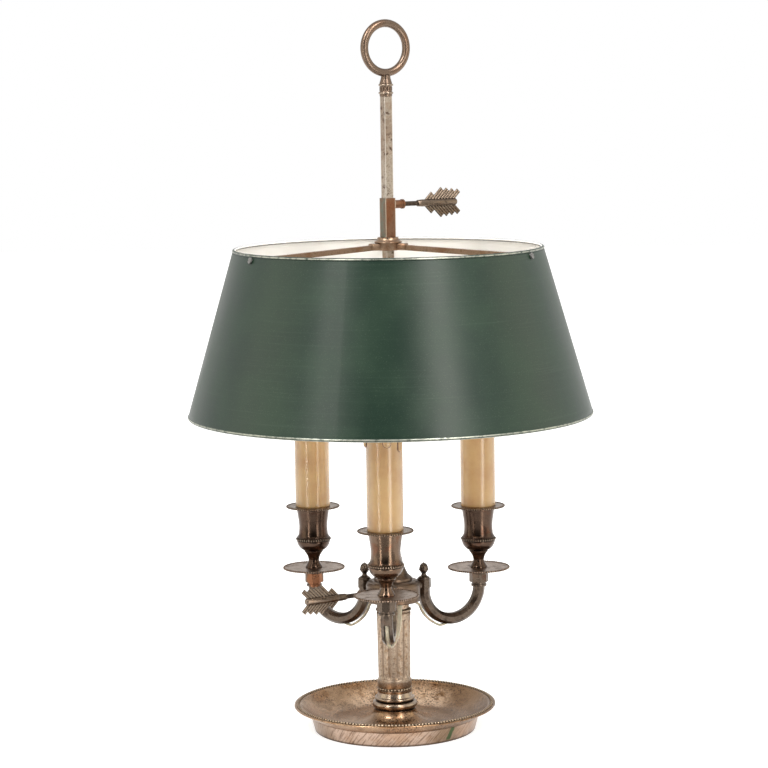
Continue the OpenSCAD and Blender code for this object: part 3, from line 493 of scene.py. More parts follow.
def painted_mound_reflection(m):
    """Painted reflection of the column's foot: brown rays on the front of the raised centre.

    The noise is read at 7 times the bearing and 12 times the distance from the axis, so it is
    drawn out along the way from the column.
    """
    reach = from_rod(m)
    axes = axes_here(m)
    bearing = calc(m, "ARCTAN2", axes["X"], axes["Y"])
    fan = step(m, "CombineXYZ", {"X": product(m, bearing, 7.0), "Y": product(m, reach, 12.0)}).outputs[0]
    rays = between(m, noise(m, 1.0, 3.0, 0.6, where=fan), 0.34, 0.62, 0.0, 0.45)
    front = between(m, axes["Y"], -0.014, 0.004, 1.0, 0.0)
    return product(m, rays, front, between(m, reach, 0.044, 0.060, 1.0, 0.0))


def brown_right(m):
    """Browner where X is beyond about 50 mm, with a ragged edge."""
    ragged = frayed(m, axes_here(m)["X"], 0.040, 70.0, 5.0, 0.65)
    return between(m, ragged, 0.036, 0.064, 0.0, 0.68)


print("pitted, painted_wall_reflection, painted_mound_reflection and brown_right are for the dish")

# %% [markdown]
# The rod is pale, with brown spots and a browner upper end. One face of the collar is painted
# greenish grey, a painted reflection, and the left arm shows copper at its outer block. The
# upright edges of rod and collar are painted bright, for wear and for a painted highlight. One
# finish for each with its marks laid over it keeps the recipe of the plate the same everywhere.
# %% Marks of age, painted reflection and painted highlight on rod, collar and arm
def worn_highlit_corner(inside, outside):
    """The upright edges of a square bar, where the distance from the axis is largest: wear and a painted
    highlight.
    """
    def share(m):
        reach = from_rod(m)
        on_bar = calc(m, "LESS_THAN", reach, outside + 0.0002)
        return product(m, between(m, reach, inside, outside), on_bar, 0.75)
    return share


def handled(m):
    """A brown film on the rod's upper 80 mm, broken up by noise."""
    film = between(m, noise(m, 160.0, 5.0, 0.7), 0.38, 0.60, 0.25, 0.8)
    return product(m, between(m, axes_here(m)["Z"], 0.455, 0.505), film)


def spots(m):
    """Brown spots of 1 to 3 mm where the plate has lifted, in some stretches of the rod only."""
    stretch = between(m, noise(m, 24.0, 2.0), 0.40, 0.56)
    return product(m, between(m, noise(m, 240.0, 4.0, 0.7), 0.52, 0.60, 0.0, 0.9), stretch)


def bare_block(m):
    """Copper on the outer block of the left arm, within about 9 mm of the middle of its front."""
    middle = (-0.0700, 0.0340, 0.1215)
    off = step(m, "VectorMath", {0: here(m), 1: middle}, operation="DISTANCE").outputs["Value"]
    ragged = frayed(m, off, 0.004, 260.0, 3.0)
    return between(m, ragged, 0.0085, 0.011, 0.8, 0.0)


def left_face_reflection(m):
    """Painted reflection on the face of the collar that looks to the left front.

    A place is on it where it lies more than 4.6 mm from the axis in that direction.
    """
    left_front = (*turn(-144)[:, 0],)
    away = step(m, "VectorMath", {0: here(m), 1: left_front}, operation="DOT_PRODUCT").outputs["Value"]
    patchy = between(m, noise(m, 150.0, 5.0, 0.65), 0.36, 0.62, 0.35, 0.85)
    return product(m, between(m, away, 0.0046, 0.0047), patchy)


print("worn_highlit_corner, handled, spots, bare_block and left_face_reflection are for rod, collar and arm")

# %% [markdown]
# Now the mixtures: pale plate, warm plate and tarnish, each as a colour, then where the warm
# patches and the tarnish begin, and how rough the metal is at its smoothest and dullest. The
# column and the foot are pale, the dish is worn down to copper, and the beads are darker. Fixed
# numbers in one call each are easier to compare than a nodes' panel for every part.
# %% Mixtures for foot and column
COLUMN = old_plate(
    "silver_plate", paint(172, 153, 134), paint(152, 126, 102), paint(92, 72, 56),
    0.50, 0.46, (0.32, 0.44), blotch=230.0, speck=1000.0, specks=0.75, wide=0.22)
FOOT = old_plate(
    "column_foot_plate", paint(165, 146, 128), paint(148, 121, 100), paint(60, 46, 37),
    0.50, 0.54, (0.22, 0.32), blotch=120.0, specks=0.45, hollow=0.95, lathe=0.00002)
SKIRT = old_plate(
    "foot_plate", paint(186, 163, 146), paint(174, 146, 124), paint(112, 88, 70),
    0.46, 0.58, (0.30, 0.40), blotch=46.0, specks=0.45,
    # The brown at both sides is painted shade, and the dark line at the bottom is dirt with a painted
    # contact shadow.
    over=((painted_side_shade, paint(118, 98, 76)), (wiped, paint(96, 72, 56)),
          (bottom_dirt_and_shadow, paint(62, 48, 40)), (verdigris, paint(50, 78, 46))))
COPPER = old_plate(
    "copper_plate", paint(174, 143, 114), paint(162, 124, 90), paint(98, 76, 57),
    0.46, 0.46, (0.22, 0.34), blotch=40.0, speck=760.0, wide=0.30, film_share=0.55, lathe=0.000012,
    # The bright patches on the wall and the dark rays on the raised centre are painted reflections.
    over=((brown_right, paint(124, 94, 66)), (painted_wall_reflection, paint(226, 194, 164)),
          (painted_mound_reflection, paint(96, 72, 54)), (pitted, paint(56, 40, 31))))
BEADS = old_plate(
    "bead_plate", paint(148, 126, 102), paint(140, 112, 84), paint(42, 31, 25),
    0.5, 0.7, (0.24, 0.34), specks=0.3, rubbed=0.4)

# %% [markdown]
# The ring has no bevel step: its wire is round already, and without it the long highlights
# stay smooth. The collar and the rod get the marks that only they have.
# %% Mixtures for ring, rod and the shade's frame
RING = old_plate(
    "ring_plate", paint(114, 97, 84), paint(116, 91, 74), paint(66, 52, 43),
    0.54, 0.60, (0.31, 0.38), blotch=30.0, speck=1500.0, specks=0.15, wide=0.4,
    lumps=0.00001, grain=0.000001, bevel=0.0)
COLLAR = old_plate(
    "collar_plate", paint(130, 98, 77), paint(128, 86, 62), paint(78, 56, 44),
    0.46, 0.54, (0.32, 0.42),
    # The left face's greenish grey is a painted reflection, and the bright edges are wear with a painted
    # highlight.
    over=((left_face_reflection, paint(110, 116, 104)), (worn_highlit_corner(0.0062, 0.0067), paint(200, 184, 164))))
FRAME = old_plate(
    "frame_plate", paint(148, 124, 103), paint(138, 107, 84), paint(90, 68, 52),
    0.5, 0.54, (0.28, 0.40), specks=0.45, hollow=0.85)
ROD = old_plate(
    "rod_plate", paint(180, 168, 154), paint(166, 147, 129), paint(84, 63, 50),
    0.50, 0.56, (0.30, 0.42), blotch=90.0, speck=760.0, specks=0.8,
    # The bright upright edges are wear with a painted highlight.
    over=((handled, paint(146, 126, 109)), (spots, paint(70, 42, 32)),
          (worn_highlit_corner(0.0046, 0.0051), paint(216, 208, 198))))

# %% [markdown]
# Around the candles the metal was cleaned less. Pans and flanges are grey-brown, and the cups,
# the arms and the arrows are dark. The right and left cups get a darker copy of the cups'
# patina, which paints the shade they stand in.
# %% Mixtures for arms and candles
PAN = old_plate(
    "pan_plate", paint(154, 132, 115), paint(130, 104, 85), paint(50, 39, 32),
    0.52, 0.48, (0.26, 0.38), blotch=70.0, specks=0.8, hollow=0.85, rubbed=0.5)
FLANGE = old_plate(
    "flange_plate", paint(126, 108, 92), paint(118, 94, 76), paint(48, 37, 31),
    0.50, 0.50, (0.22, 0.34), blotch=80.0, specks=0.55, hollow=0.8, rubbed=0.45)
SMOOTH_DARK = dict(blotch=90.0, lumps=0.00002, hollow=0.75, lathe=0.00004, wide=0.4, film_share=0.45)
TARNISH = old_plate(
    "dark_patina", paint(104, 86, 72), paint(104, 76, 60), paint(50, 38, 31),
    0.50, 0.44, (0.16, 0.24), specks=0.4, **SMOOTH_DARK)
# A darker copy of the cups' patina, painted shade for the right and left cups.
SHADED_CUP_PATINA = old_plate(
    "shaded_cup_patina", paint(80, 64, 54), paint(82, 57, 45), paint(38, 30, 26),
    0.50, 0.44, (0.16, 0.24), specks=0.35, **SMOOTH_DARK)
ARM = old_plate(
    "arm_patina", paint(96, 84, 74), paint(92, 68, 56), paint(46, 36, 31),
    0.56, 0.50, (0.24, 0.34), specks=0.4, over=((bare_block, paint(140, 92, 64)),))
HUB = old_plate(
    "hub_patina", paint(104, 87, 73), paint(97, 75, 60), paint(47, 36, 30),
    0.52, 0.46, (0.30, 0.42), blotch=70.0, speck=1000.0, wide=0.3)
ARROW = old_plate(
    "arrow_patina", paint(116, 101, 88), paint(106, 86, 70), paint(26, 21, 18),
    0.54, 0.52, (0.24, 0.34), specks=0.35, hollow=0.85, rubbed=0.5)

# %% [markdown]
# Small fixings are plain steel and brass. They still have a little dirt and a fine grain, so
# that they catch light like metal and not like plastic. The moulded and woven parts are made
# in the same way, without the shine of metal. One colour all over would be quicker, and would
# look like it.
# %% Plain metals and plain skins
def plain(name, colour, darkest, dark_from, dark_to, rough, tone, grain, depth, **sockets):
    """One colour that goes down to a darkest share of itself, and is duller there, with a grain."""
    m = finish(name, **sockets)
    mottle = noise(m, *tone)
    deep = (*(c * darkest for c in colour[:3]), 1)
    give(m, Base_Color=blend(m, between(m, mottle, dark_from, dark_to), colour, deep),
         Roughness=between(m, mottle, 0.3, 0.7, *rough), Normal=relief(m, noise(m, *grain), depth))
    print("mixed", name)
    return m


def plain_metal(name, colour, roughness):
    """Metal with a mottle of 2.5 mm and a grain of 0.4 mm."""
    return plain(name, colour, 0.6, 0.35, 0.75, (roughness, roughness + 0.2), (400.0, 4.0),
                 (2500.0, 2.0), 0.000012, Metallic=1.0)


def plain_skin(name, colour, roughness, grain, depth, **sockets):
    """A moulded or woven skin, whose tone follows its grain."""
    return plain(name, colour, 0.8, 0.3, 0.7, (roughness, roughness + 0.08), (grain, 3.0),
                 (grain, 3.0), depth, **sockets)


STEEL = plain_metal("steel", paint(150, 148, 146), 0.3)
BLACK = plain_metal("blackened_steel", paint(78, 66, 58), 0.34)
BRASS = plain_metal("plain_brass", paint(196, 164, 104), 0.28)
CAP = plain_metal("bulb_cap_brass", paint(190, 172, 122), 0.3)
CABLE = plain_skin("cable_white", paint(212, 200, 176), 0.26, 300.0, 0.00002,
                   Subsurface_Weight=0.1, Subsurface_Scale=0.001)
HOLDER = plain_skin("holder_white", paint(228, 222, 208), 0.4, 900.0, 0.00002)
FELT = plain_skin("felt", paint(60, 72, 58), 0.9, 1800.0, 0.0002, Sheen_Weight=0.4)
RUBBER = plain_skin("rubber_black", paint(40, 38, 36), 0.5, 1500.0, 0.00003)

# %% [markdown]
# The shade is sheet metal, brushed with dark green paint outside and off-white inside. The
# paint shows the brush as long faint streaks round the shade, and fine dust as pale specks.
# Along the rolled edges it is rubbed through to the grey metal. Two finishes could be given to
# the two sides, but the shade is one sheet, so one finish reads from the mesh which side it is.
# %% Paint of the shade
def shade_paint(name):
    """Green outside and off-white inside, where the attribute inside is 1.

    The attribute crest is 1 on the crest of a rolled edge and 0 elsewhere.
    """
    m = finish(name)
    streaks = noise(m, 1.0, 5.0, 0.6, stretch=(10, 10, 700))
    mottle = noise(m, 26.0, 4.0, 0.55)
    dust = noise(m, 1300.0, 3.0, 0.6)
    white = blend(m, between(m, mottle, 0.4, 0.8), paint(254, 252, 248), paint(249, 245, 238))
    green = blend(m, between(m, mottle, 0.3, 0.75), paint(13, 37, 26), paint(22, 46, 31))
    green = blend(m, between(m, streaks, 0.52, 0.74, 0.0, 0.16), green, paint(62, 80, 66))
    green = blend(m, between(m, dust, 0.57, 0.72, 0.0, 0.22), green, paint(104, 120, 98))
    colour = blend(m, between(m, mark(m, "inside"), 0.4, 0.6), green, white)
    bare = between(m, frayed(m, mark(m, "crest"), 1.1, 220.0, 5.0, 0.7), 1.30, 1.62)
    give(m, Base_Color=blend(m, bare, colour, paint(168, 170, 158)), Metallic=product(m, bare, 0.75),
         Roughness=between(m, mottle, 0.3, 0.7, 0.34, 0.39),
         Normal=relief(m, dust, 0.00001, relief(m, streaks, 0.00001)))
    print("mixed", name)
    return m


GREEN = shade_paint("green_paint")

# %% [markdown]
# The candle sleeves are card dipped in wax the colour of honey. Wax lets a little light in, it
# has a thin shine over a grainy skin, and the drips are outlined with dirt. Noise could scatter
# that dirt, but only the mesh knows where the drips are, so the mesh carries it. The bulbs are
# clear glass with the faintest film.
# %% Wax and glass
def wax(name):
    """Honey wax in two tones, with darker grains, and dirt where the attribute dirt is 1."""
    m = finish(name, Subsurface_Weight=0.12, Subsurface_Scale=0.004, Subsurface_Radius=(1.0, 0.6, 0.3),
               Coat_Weight=1.0, Coat_Roughness=0.09)
    tone = noise(m, 45.0, 5.0, 0.6)
    colour = blend(m, between(m, tone, 0.3, 0.75), paint(196, 159, 107), paint(180, 138, 89))
    speckle = between(m, noise(m, 700.0, 3.0, 0.7), 0.6, 0.75, 0.0, 0.3)
    colour = blend(m, speckle, colour, paint(176, 138, 92))
    colour = blend(m, between(m, mark(m, "dirt"), 0.25, 0.8), colour, paint(104, 66, 34))
    grains = relief(m, noise(m, 700.0, 3.0, 0.7), 0.00012)
    lumps = relief(m, noise(m, 260.0, 2.0, 0.5), 0.00003, grains)
    give(m, Base_Color=colour, Roughness=between(m, tone, 0.3, 0.7, 0.48, 0.58), Normal=lumps,
         Coat_Normal=lumps)
    print("mixed", name)
    return m


WAX = wax("wax_sleeve")
GLASS = finish("bulb_glass", Roughness=0.03, Transmission_Weight=1.0, IOR=1.45)
film = blend(GLASS, noise(GLASS, 60.0, 2.0), paint(250, 250, 248), paint(238, 238, 232))
give(GLASS, Base_Color=film)

# %% [markdown]
# Each solid gets its finish in the slot it came with. Many solids, such as the square rod, the
# eight-sided arms and all that is inside, need no finer shape and are kept as they are. The
# others are replaced further on by a finer piece.
# %% Finish the solids
def dress(coating, *names):
    """The finish goes into every slot of the named solids."""
    for name in names:
        o = node[name]
        if not o.data.materials:
            o.data.materials.append(coating)
        for s in o.material_slots:
            s.material = coating


def each_arm(stem):
    """The names of one kind of solid on all three arms."""
    return [f"{stem}_{a}" for a in ARMS]


dress(COLUMN, "column_bead_ring", "column_shaft", "column_capital")
dress(FOOT, "column_foot")
dress(SKIRT, "foot_ring")
dress(BEADS, "dish_bead_ring")
dress(COPPER, "dish")
dress(COLLAR, "shade_collar")
dress(FRAME, "spider_hub", "spider_bars")
dress(RING, "ring_socket", "ring_handle")
dress(ROD, "center_rod")
dress(HUB, "hub_drum", "hub_bell")
dress(ARM, "arm_finials", *each_arm("arm"))
dress(ARROW, "arms_key_arrow", "shade_key_arrow")
dress(PAN, *each_arm("drip_pan"))
dress(FLANGE, *each_arm("flange"))
dress(TARNISH, *each_arm("cup"))
dress(STEEL, "base_nut", "base_washer", "arm_screws", "cup_nipples", "cup_nuts", "shade_screws",
      "shade_hem_wires")
dress(BLACK, "arms_key_shank", "shade_key_shank")
dress(BRASS, "arms_key_shoe", "shade_key_shoe")
dress(GREEN, "shade_cone")
dress(WAX, *each_arm("sleeve"))
dress(CABLE, *each_arm("wire"))
dress(HOLDER, *each_arm("holder"))
dress(CAP, *each_arm("bulb_cap"))
dress(GLASS, *each_arm("bulb"))
dress(FELT, "base_felt")
dress(RUBBER, "cord_bush")
print("dressed", sum(1 for o in node.values() if o.data.materials), "solids")

# %% [markdown]
# The shade is a cone of thin sheet. Its two edges are rolled round a wire, which makes a round
# bead that stands a little proud, and the sheet's ends lap over each other in one upright
# seam. A plain cone that a modifier thickens would have neither. So the outline is a closed
# one, out up, over the upper roll, in down and round the lower roll. It is swept round the
# axis, and the seam is a small step in its radius.
# %% Outline of the shade
SHADE_TOP = (130.2, 411.3)  # radius and height of the upper edge
SHADE_LOW = (171.2, 269.9)
SHEET = 0.6  # its thickness
HEM = 1.5  # radius of a rolled edge
PROUD = 0.35  # how far a rolled edge stands out from the sheet
INSET = 0.005  # keeps the rolled edges inside the size of the solid
ROLL_ROWS, FLANK_ROWS = 15, 40
low_z, top_z = SHADE_LOW[1] + HEM, SHADE_TOP[1] - HEM


def shade_r(z):
    """Radius of the cone at a height: it grows by the same amount for each millimetre down."""
    return SHADE_TOP[0] + (SHADE_TOP[1] - z) * (SHADE_LOW[0] - SHADE_TOP[0]) / (SHADE_TOP[1] - SHADE_LOW[1])


def roll(z, first, last):
    """Part of the circle of a rolled edge, from one angle to another, in degrees from outwards."""
    a = np.radians(np.linspace(first, last, ROLL_ROWS))
    return np.stack([shade_r(z) - INSET - HEM + HEM * np.cos(a), z + HEM * np.sin(a)], -1)


flank = np.linspace(low_z + 1.7, top_z - 1.1, FLANK_ROWS)
out_side = np.stack([shade_r(flank) - PROUD, flank], -1)
in_side = out_side[::-1] - (SHEET, 0)
profile = outline(roll(low_z, -60, 62), out_side, roll(top_z, -48, 160), in_side, roll(low_z, 200, 290))
print("the shade's outline has", len(profile), "points")

# %% [markdown]
# The finish has to know the inside from the outside, and where the rolled edges are rubbed, so
# each point of the outline gets a number for both.
# %% Shade
SEAM = -101.9  # where the lap is, in degrees from +X
LAP, LAP_STEP = 20, 0.15  # its width in degrees and its step in millimetres
SHADE_COLUMNS = 360
angles = np.linspace(-180, 180, SHADE_COLUMNS, endpoint=False)
into_lap = np.clip(((angles - SEAM) % 360 - (360 - LAP)) / LAP, 0, 1)
r = profile[:, :1] - LAP_STEP * into_lap[None, :] ** 2
a = np.radians(angles)
cone = shell(np.stack([r * np.cos(a), r * np.sin(a), profile[:, 1:] + 0 * a], -1))
rows = np.arange(len(profile))
inner = ((rows >= ROLL_ROWS + FLANK_ROWS + 11) & (rows < len(profile) - 2)).astype(float)
proud = profile[:, 0] - (shade_r(profile[:, 1]) - PROUD)
crest = np.clip((proud - 0.08) / 0.25, 0, 1) * (1 - inner)
crest[:4] = crest[-8:] = 1.0
piece("shade", [cone], "shade", GREEN, ["shade_cone"], "green_paint", crease=50,
      crest=np.repeat(crest, SHADE_COLUMNS), inside=np.repeat(inner, SHADE_COLUMNS))

# %% [markdown]
# The shade hangs from a hub under the collar. It was turned with a flare, like a small
# trumpet upside down, and three lugs stand out of it, each forged round the end of a bar. A
# lug is a rounded oblong carried outwards, a little smaller at its end. A Boolean could weld
# the lugs to the hub. Shells that run into each other show the same line and never fail.
# %% Hub of the shade's frame
SPIDER_Z, SPIDER_BORE, SPIDER_H = 408.7, 5.4, 10.8
LUG_ANGLES, LUG_END = (216, 336, 96), 17.5
flare = smooth([(10.9, 7.7), (9.9, 8.3), (9.2, 9.2), (8.8, 10.2)], 6)
hub = outline((SPIDER_BORE, 0.02), (10.2, 0.02), (10.8, 0.6), (10.8, 5.7), moulding(11.0, 6.1, 7.5, 9),
              flare, (8.8, SPIDER_H), (SPIDER_BORE, SPIDER_H), (SPIDER_BORE, 0.02))


def rounded_oblong(half_wide, half_high, steps=40, power=0.4):
    """Sine and cosine raised to a power below 1: an ellipse pushed out towards its corners."""
    t = np.linspace(0, 2 * np.pi, steps, endpoint=False)
    across = np.sign(np.cos(t)) * np.abs(np.cos(t)) ** power
    up = np.sign(np.sin(t)) * np.abs(np.sin(t)) ** power
    return np.stack([half_wide * across, half_high * up], -1)


out = np.array([9.0, 10.0, 16.4, 17.1, LUG_END])
lug_way = np.stack([out, 0 * out, 3.1 + 0 * out], -1)
lug = carried(lug_way, rounded_oblong(3.7, 3.0), (0, 1, 0), [1, 1, 1, 0.95, 0.84])
made = [turned(hub), *(placed(lug, turn(d)) for d in LUG_ANGLES)]
piece("spider_hub_turned", [placed(m, to=(0, 0, SPIDER_Z)) for m in made], "shade", FRAME,
      ["spider_hub"], "copper_plate", crease=50)

# %% [markdown]
# The dish is spun from sheet: a raised centre, a level floor, a wall that curves up and a flat
# rim. A row of beads was rolled along the rim as a border. A sheet that a modifier thickens
# would have its groove on both sides, so the dish is one closed outline, with a shallow groove
# in its rim for the beads.
# %% Dish and its border
RIM_R, RIM_Z, RIM_IN = 85.9, 21.8, 79.5
FLOOR_R, FLOOR_Z, DISH_T = 50.0, 6.5, 1.8
MOUND_TOP_R, MOUND_R, MOUND_Z = 18, 36, 17
POLE = 0.001  # an outline that begins or ends this near the axis closes there
WALL_END = math.radians(35)


def dish_z(r):
    """Height of the dish's wall at a radius: the arc that starts level and ends at 35 degrees."""
    slope = np.arcsin((r - FLOOR_R) / (RIM_IN - FLOOR_R) * math.sin(WALL_END))
    return FLOOR_Z + (RIM_Z - 0.5 - FLOOR_Z) * (1 - np.cos(slope)) / (1 - math.cos(WALL_END))


def mound(r0, z0, r1, z1, steps=24):
    """A quarter of an ellipse from the raised centre's steep top out to the level floor."""
    a = np.radians(np.linspace(0, 90, steps))
    return np.stack([r1 - (r1 - r0) * np.cos(a), z0 - (z0 - z1) * np.sin(a)], -1)


wall_r = np.linspace(FLOOR_R, RIM_IN, 30)
wall = np.stack([wall_r, dish_z(wall_r)], -1)
flat_floor = smooth([(36.5, FLOOR_Z), (43, FLOOR_Z), (49.5, FLOOR_Z)], 4)
upper = outline((POLE, MOUND_Z), mound(MOUND_TOP_R, MOUND_Z, MOUND_R, FLOOR_Z), flat_floor, wall)
groove = [(80.1, RIM_Z - 0.1), (81.2, RIM_Z - 0.1), (81.4, RIM_Z - 0.5), (84.1, RIM_Z - 0.5),
          (84.3, RIM_Z - 0.1)]
edge = moulding(RIM_R - 0.8, RIM_Z - 1.7, RIM_Z - 0.1, 9)[::-1]
under_mound = mound(16.2, MOUND_Z - DISH_T, 35.1, FLOOR_Z - DISH_T)[::-1]
under = outline(wall[::-1] - (0, DISH_T), under_mound, (POLE, MOUND_Z - DISH_T))
sheet = turned(outline(upper, groove, edge, under), 256)
piece("dish_sheet", [sheet], "base", COPPER, ["dish"], "copper_plate")
piece("dish_beads", [beads(82.7, RIM_Z - 0.05, bead_r=1.16, count=187)], "base", BEADS, ["dish_bead_ring"],
      "silver_plate", crease=60)

# %% [markdown]
# The column was turned in three parts. Its foot is a stack of mouldings: a thick round one, a
# thinner one and a hollow that leads up to a ring of beads. Cylinders and rings could be
# stacked up to it, but one outline shows the whole foot as a turner would draw it.
# %% Foot of the column
FOOT_Z, SHAFT_Z, CAPITAL_Z = 17.01, 36.0, 97.5
foot_hollow = smooth([(15.4, 10.8), (14.9, 12.5), (14.3, 14.4), (14.6, 16.1)], 6)
foot = outline((9, 0), (16.4, 0), (17.5, 0.3), moulding(16.3, 0.95, 7.03), (15.3, 7.6),
               moulding(15.9, 7.98, 10.45, 10), foot_hollow, (14.6, 16.7), (13.5, 16.75),
               (13.5, 18.9), (9, 18.9))
piece("column_foot_turned", [turned(foot + (0, FOOT_Z))], "base", FOOT, ["column_foot"],
      "silver_plate")
piece("column_beads", [beads(13.95, SHAFT_Z - 1.1, bead_r=1.08, count=32)], "base", BEADS,
      ["column_bead_ring"], "silver_plate", crease=60)

# %% [markdown]
# The flutes of the shaft were cut after turning, with a round cutter that stops short of both
# ends, which leaves a domed end to each flute. Twelve Boolean cuts would do the same and leave
# thin slivers at the domes. Here the shaft is a grid whose radius is the smaller of two: that of
# the plain shaft and that of the cutter's circle.
# %% Fluted shaft
FLUTES, CUT_R, DEPTH = 12, 2.6, 1.1
BORE_R, TOP_R, LOW_R, DRUM_R = 10.5, 14.3, 13.5, 14.5
DRUM_TOP, SHAFT_TOP = 6.2, 61.45  # heights above the shaft's lower end
CUT_FROM, CUT_LENGTH = 7.8, 52.3
even = np.linspace(0, 1, 60)
cut_z = CUT_FROM + CUT_LENGTH * (1 - np.cos(np.pi * even)) / 2
z = np.concatenate([[0, 0.01, 0.25, DRUM_TOP, 6.6, cut_z[0] - 0.6], cut_z,
                    [cut_z[-1] + 0.8, SHAFT_TOP - 0.01, SHAFT_TOP]])
uncut = np.interp(z, [0, 0.25, DRUM_TOP, 6.9, SHAFT_TOP], [TOP_R, DRUM_R, DRUM_R, LOW_R, TOP_R])
uncut[0] = uncut[-1] = BORE_R
to_end = np.minimum(z - cut_z[0], cut_z[-1] - z)
dome = np.clip(CUT_R - to_end, 0, CUT_R)
cutter = np.sqrt(np.clip(CUT_R**2 - dome**2, 0, None)) * (to_end > 0)
a = np.linspace(0, 2 * np.pi, FLUTES * 20, endpoint=False)
pitch = 360 / FLUTES
from_flute = np.radians(np.degrees(a) % pitch - pitch / 2)
uncut, cutter = uncut[:, None], cutter[:, None]
centre = uncut + CUT_R - DEPTH
across = centre * np.sin(from_flute)
cut = centre * np.cos(from_flute) - np.sqrt(np.clip(cutter**2 - across**2, 0, None))
in_flute = np.abs(across) < cutter
r = np.where(in_flute, np.minimum(uncut, cut), uncut)
dirt = np.clip((uncut - r) / DEPTH, 0, 1) * 0.5 * in_flute
grid = np.stack([r * np.cos(a), r * np.sin(a), SHAFT_Z + z[:, None] + 0 * a], -1)
piece("column_shaft_fluted", [shell(grid, gap=dirt)], "base", COLUMN, ["column_shaft"],
      "silver_plate", crease=40)

# %% [markdown]
# The capital is one round moulding over a plain plate, with a short neck that the hub of the
# arms rests on. It was turned as well, so an outline makes it too.
# %% Capital
capital = outline((10.5, 0), (14.5, 0), (14.5, 2.7), (13.7, 3.4), moulding(14.1, 4.16, 6.3, 12),
                  (13.3, 6.8), (13.3, 12.6), (10.5, 12.6))
piece("column_capital_turned", [turned(capital + (0, CAPITAL_Z))], "base", COLUMN,
      ["column_capital"], "silver_plate")

# %% [markdown]
# Each candle stands on a pan, in a cup, with a thin flange over the cup's mouth. All three
# were turned, and each has a row of beads at its widest. The cup's outline is given in parts of
# its height: a narrow neck, a bulb that widens to the beads, and a waisted throat. A copy for
# each arm could share one mesh, but the finish reads its place, so meshes of their own give
# each candle its own tarnish.
# %% Pans, cups and flanges
CANDLE_R, PAN_Z, CUP_Z, FLANGE_Z = 82.5, 130.05, 131.25, 183.75
CUP_H, TUBE_R, CUP_FLOOR = 52.5, 3, 0.36
pan_top = smooth([(26.1, 1.0), (25.4, 1.35), (24.4, 1.2), (22.9, 1.25), (16.1, 1.2)], 8)
pan = outline((TUBE_R, -3.5), (6.8, -3.5), (5.8, -1.2), (7.4, -0.2),
              smooth([(14.8, -0.1), (22.9, 0.1), (26.0, 0.6)], 8), pan_top, (TUBE_R, 1.2), (TUBE_R, -3.5))
flange = outline((TUBE_R, 0), smooth([(14, 0), (20, 0.3), (22.5, 0.7)], 8),
                 smooth([(22.6, 1.0), (22.0, 1.3), (21.2, 1.2), (20, 1.4), (15.4, 1.2)], 8),
                 (TUBE_R, 1.2), (TUBE_R, 0))


def of_cup(*points):
    """Points whose heights are given as parts of the cup's height."""
    return np.array(points) * (1, CUP_H)


neck = smooth(of_cup((7.2, 0.02), (6.2, 0.05), (4.9, 0.10), (4.7, 0.14), (5.6, 0.20), (7.3, 0.25)), 8)
bulb = smooth(of_cup((9.2, 0.296), (11.6, 0.330), (13.4, 0.380), (14.3, 0.430), (14.4, 0.452)), 8)
throat = smooth(of_cup((13.6, 0.525), (12.9, 0.555), (12.45, 0.61), (12.25, 0.69), (12.6, 0.78),
                       (13.5, 0.90), (13.9, 0.955)), 8)
cup = outline((TUBE_R, 0.05), (7.3, 0.05), neck, moulding(7.4, 0.258 * CUP_H, 0.284 * CUP_H, 10),
              of_cup((8.2, 0.290)), bulb, of_cup((13.8, 0.457), (13.8, 0.500)),
              moulding(13.9, 0.502 * CUP_H, 0.516 * CUP_H, 8), throat,
              of_cup((14.2, 0.965)), (13.8, CUP_H - 0.01), (11.6, CUP_H - 0.01),
              of_cup((10.2, CUP_FLOOR), (TUBE_R, CUP_FLOOR)), (TUBE_R, 0.05))
pan_beads = beads(26.0, PAN_Z + 1.1, bead_r=0.9, count=76, dirt=0.4)
cup_beads = beads(14.1, CUP_Z + 0.479 * CUP_H, bead_r=1.2, count=44, dirt=0.2)
flange_beads = beads(22.45, FLANGE_Z + 1.05, bead_r=0.8, count=70, dirt=0.4)
TURNINGS = (("pan", pan, PAN_Z, pan_beads, "drip_pan", "silver_plate"),
            ("cup", cup, CUP_Z, cup_beads, "cup", "dark_patina"),
            ("flange", flange, FLANGE_Z, flange_beads, "flange", "silver_plate"))
for i, arm in enumerate(ARMS):
    # The right and left cups take the darker copy, a painted shade.
    coatings = {"pan": PAN, "cup": SHADED_CUP_PATINA if i else TARNISH, "flange": FLANGE}
    for name, points, z, row, solid, slot in TURNINGS:
        made = [on_arm(i, turned(points + (0, z), 144), CANDLE_R), on_arm(i, row, CANDLE_R)]
        piece(f"{name}_{arm}_turned", made, "arms", coatings[name], [f"{solid}_{arm}"], slot, crease=50)

# %% [markdown]
# The candle is a tube of card with a skin of wax. Wax that ran down at the top has set as
# tongues, round at the end, with dirt along their edge. They could be sculpted. As a formula
# each drip is four numbers: its bearing, the height of its foot, half its width and how far it
# stands out.
# %% Candles
SLEEVE_Z, SLEEVE_H, SLEEVE_R, SLEEVE_IN = 184.96, 99.98, 15.0, 13.5
SKIN_ROWS, SLEEVE_COLUMNS = 130, 224
DRIPS = {
    "front": [(-77, 255.2, 3.3, 1.3), (-166, 254, 2.6, 2.1), (-29, 251, 2.8, 2.1), (-120, 264, 2.4, 1.4),
              (30, 255, 2.6, 1.3), (80, 240, 2.8, 1.4), (150, 258, 2.6, 1.3)],
    "right": [(-120, 262, 2.6, 1.3), (-60, 266, 2.4, 1.2), (20, 255, 2.6, 1.3), (95, 262, 2.6, 1.3)],
    "left": [(-80, 264, 2.6, 1.3), (-20, 268, 2.4, 1.2), (70, 258, 2.6, 1.3), (160, 250, 2.6, 1.4)],
}


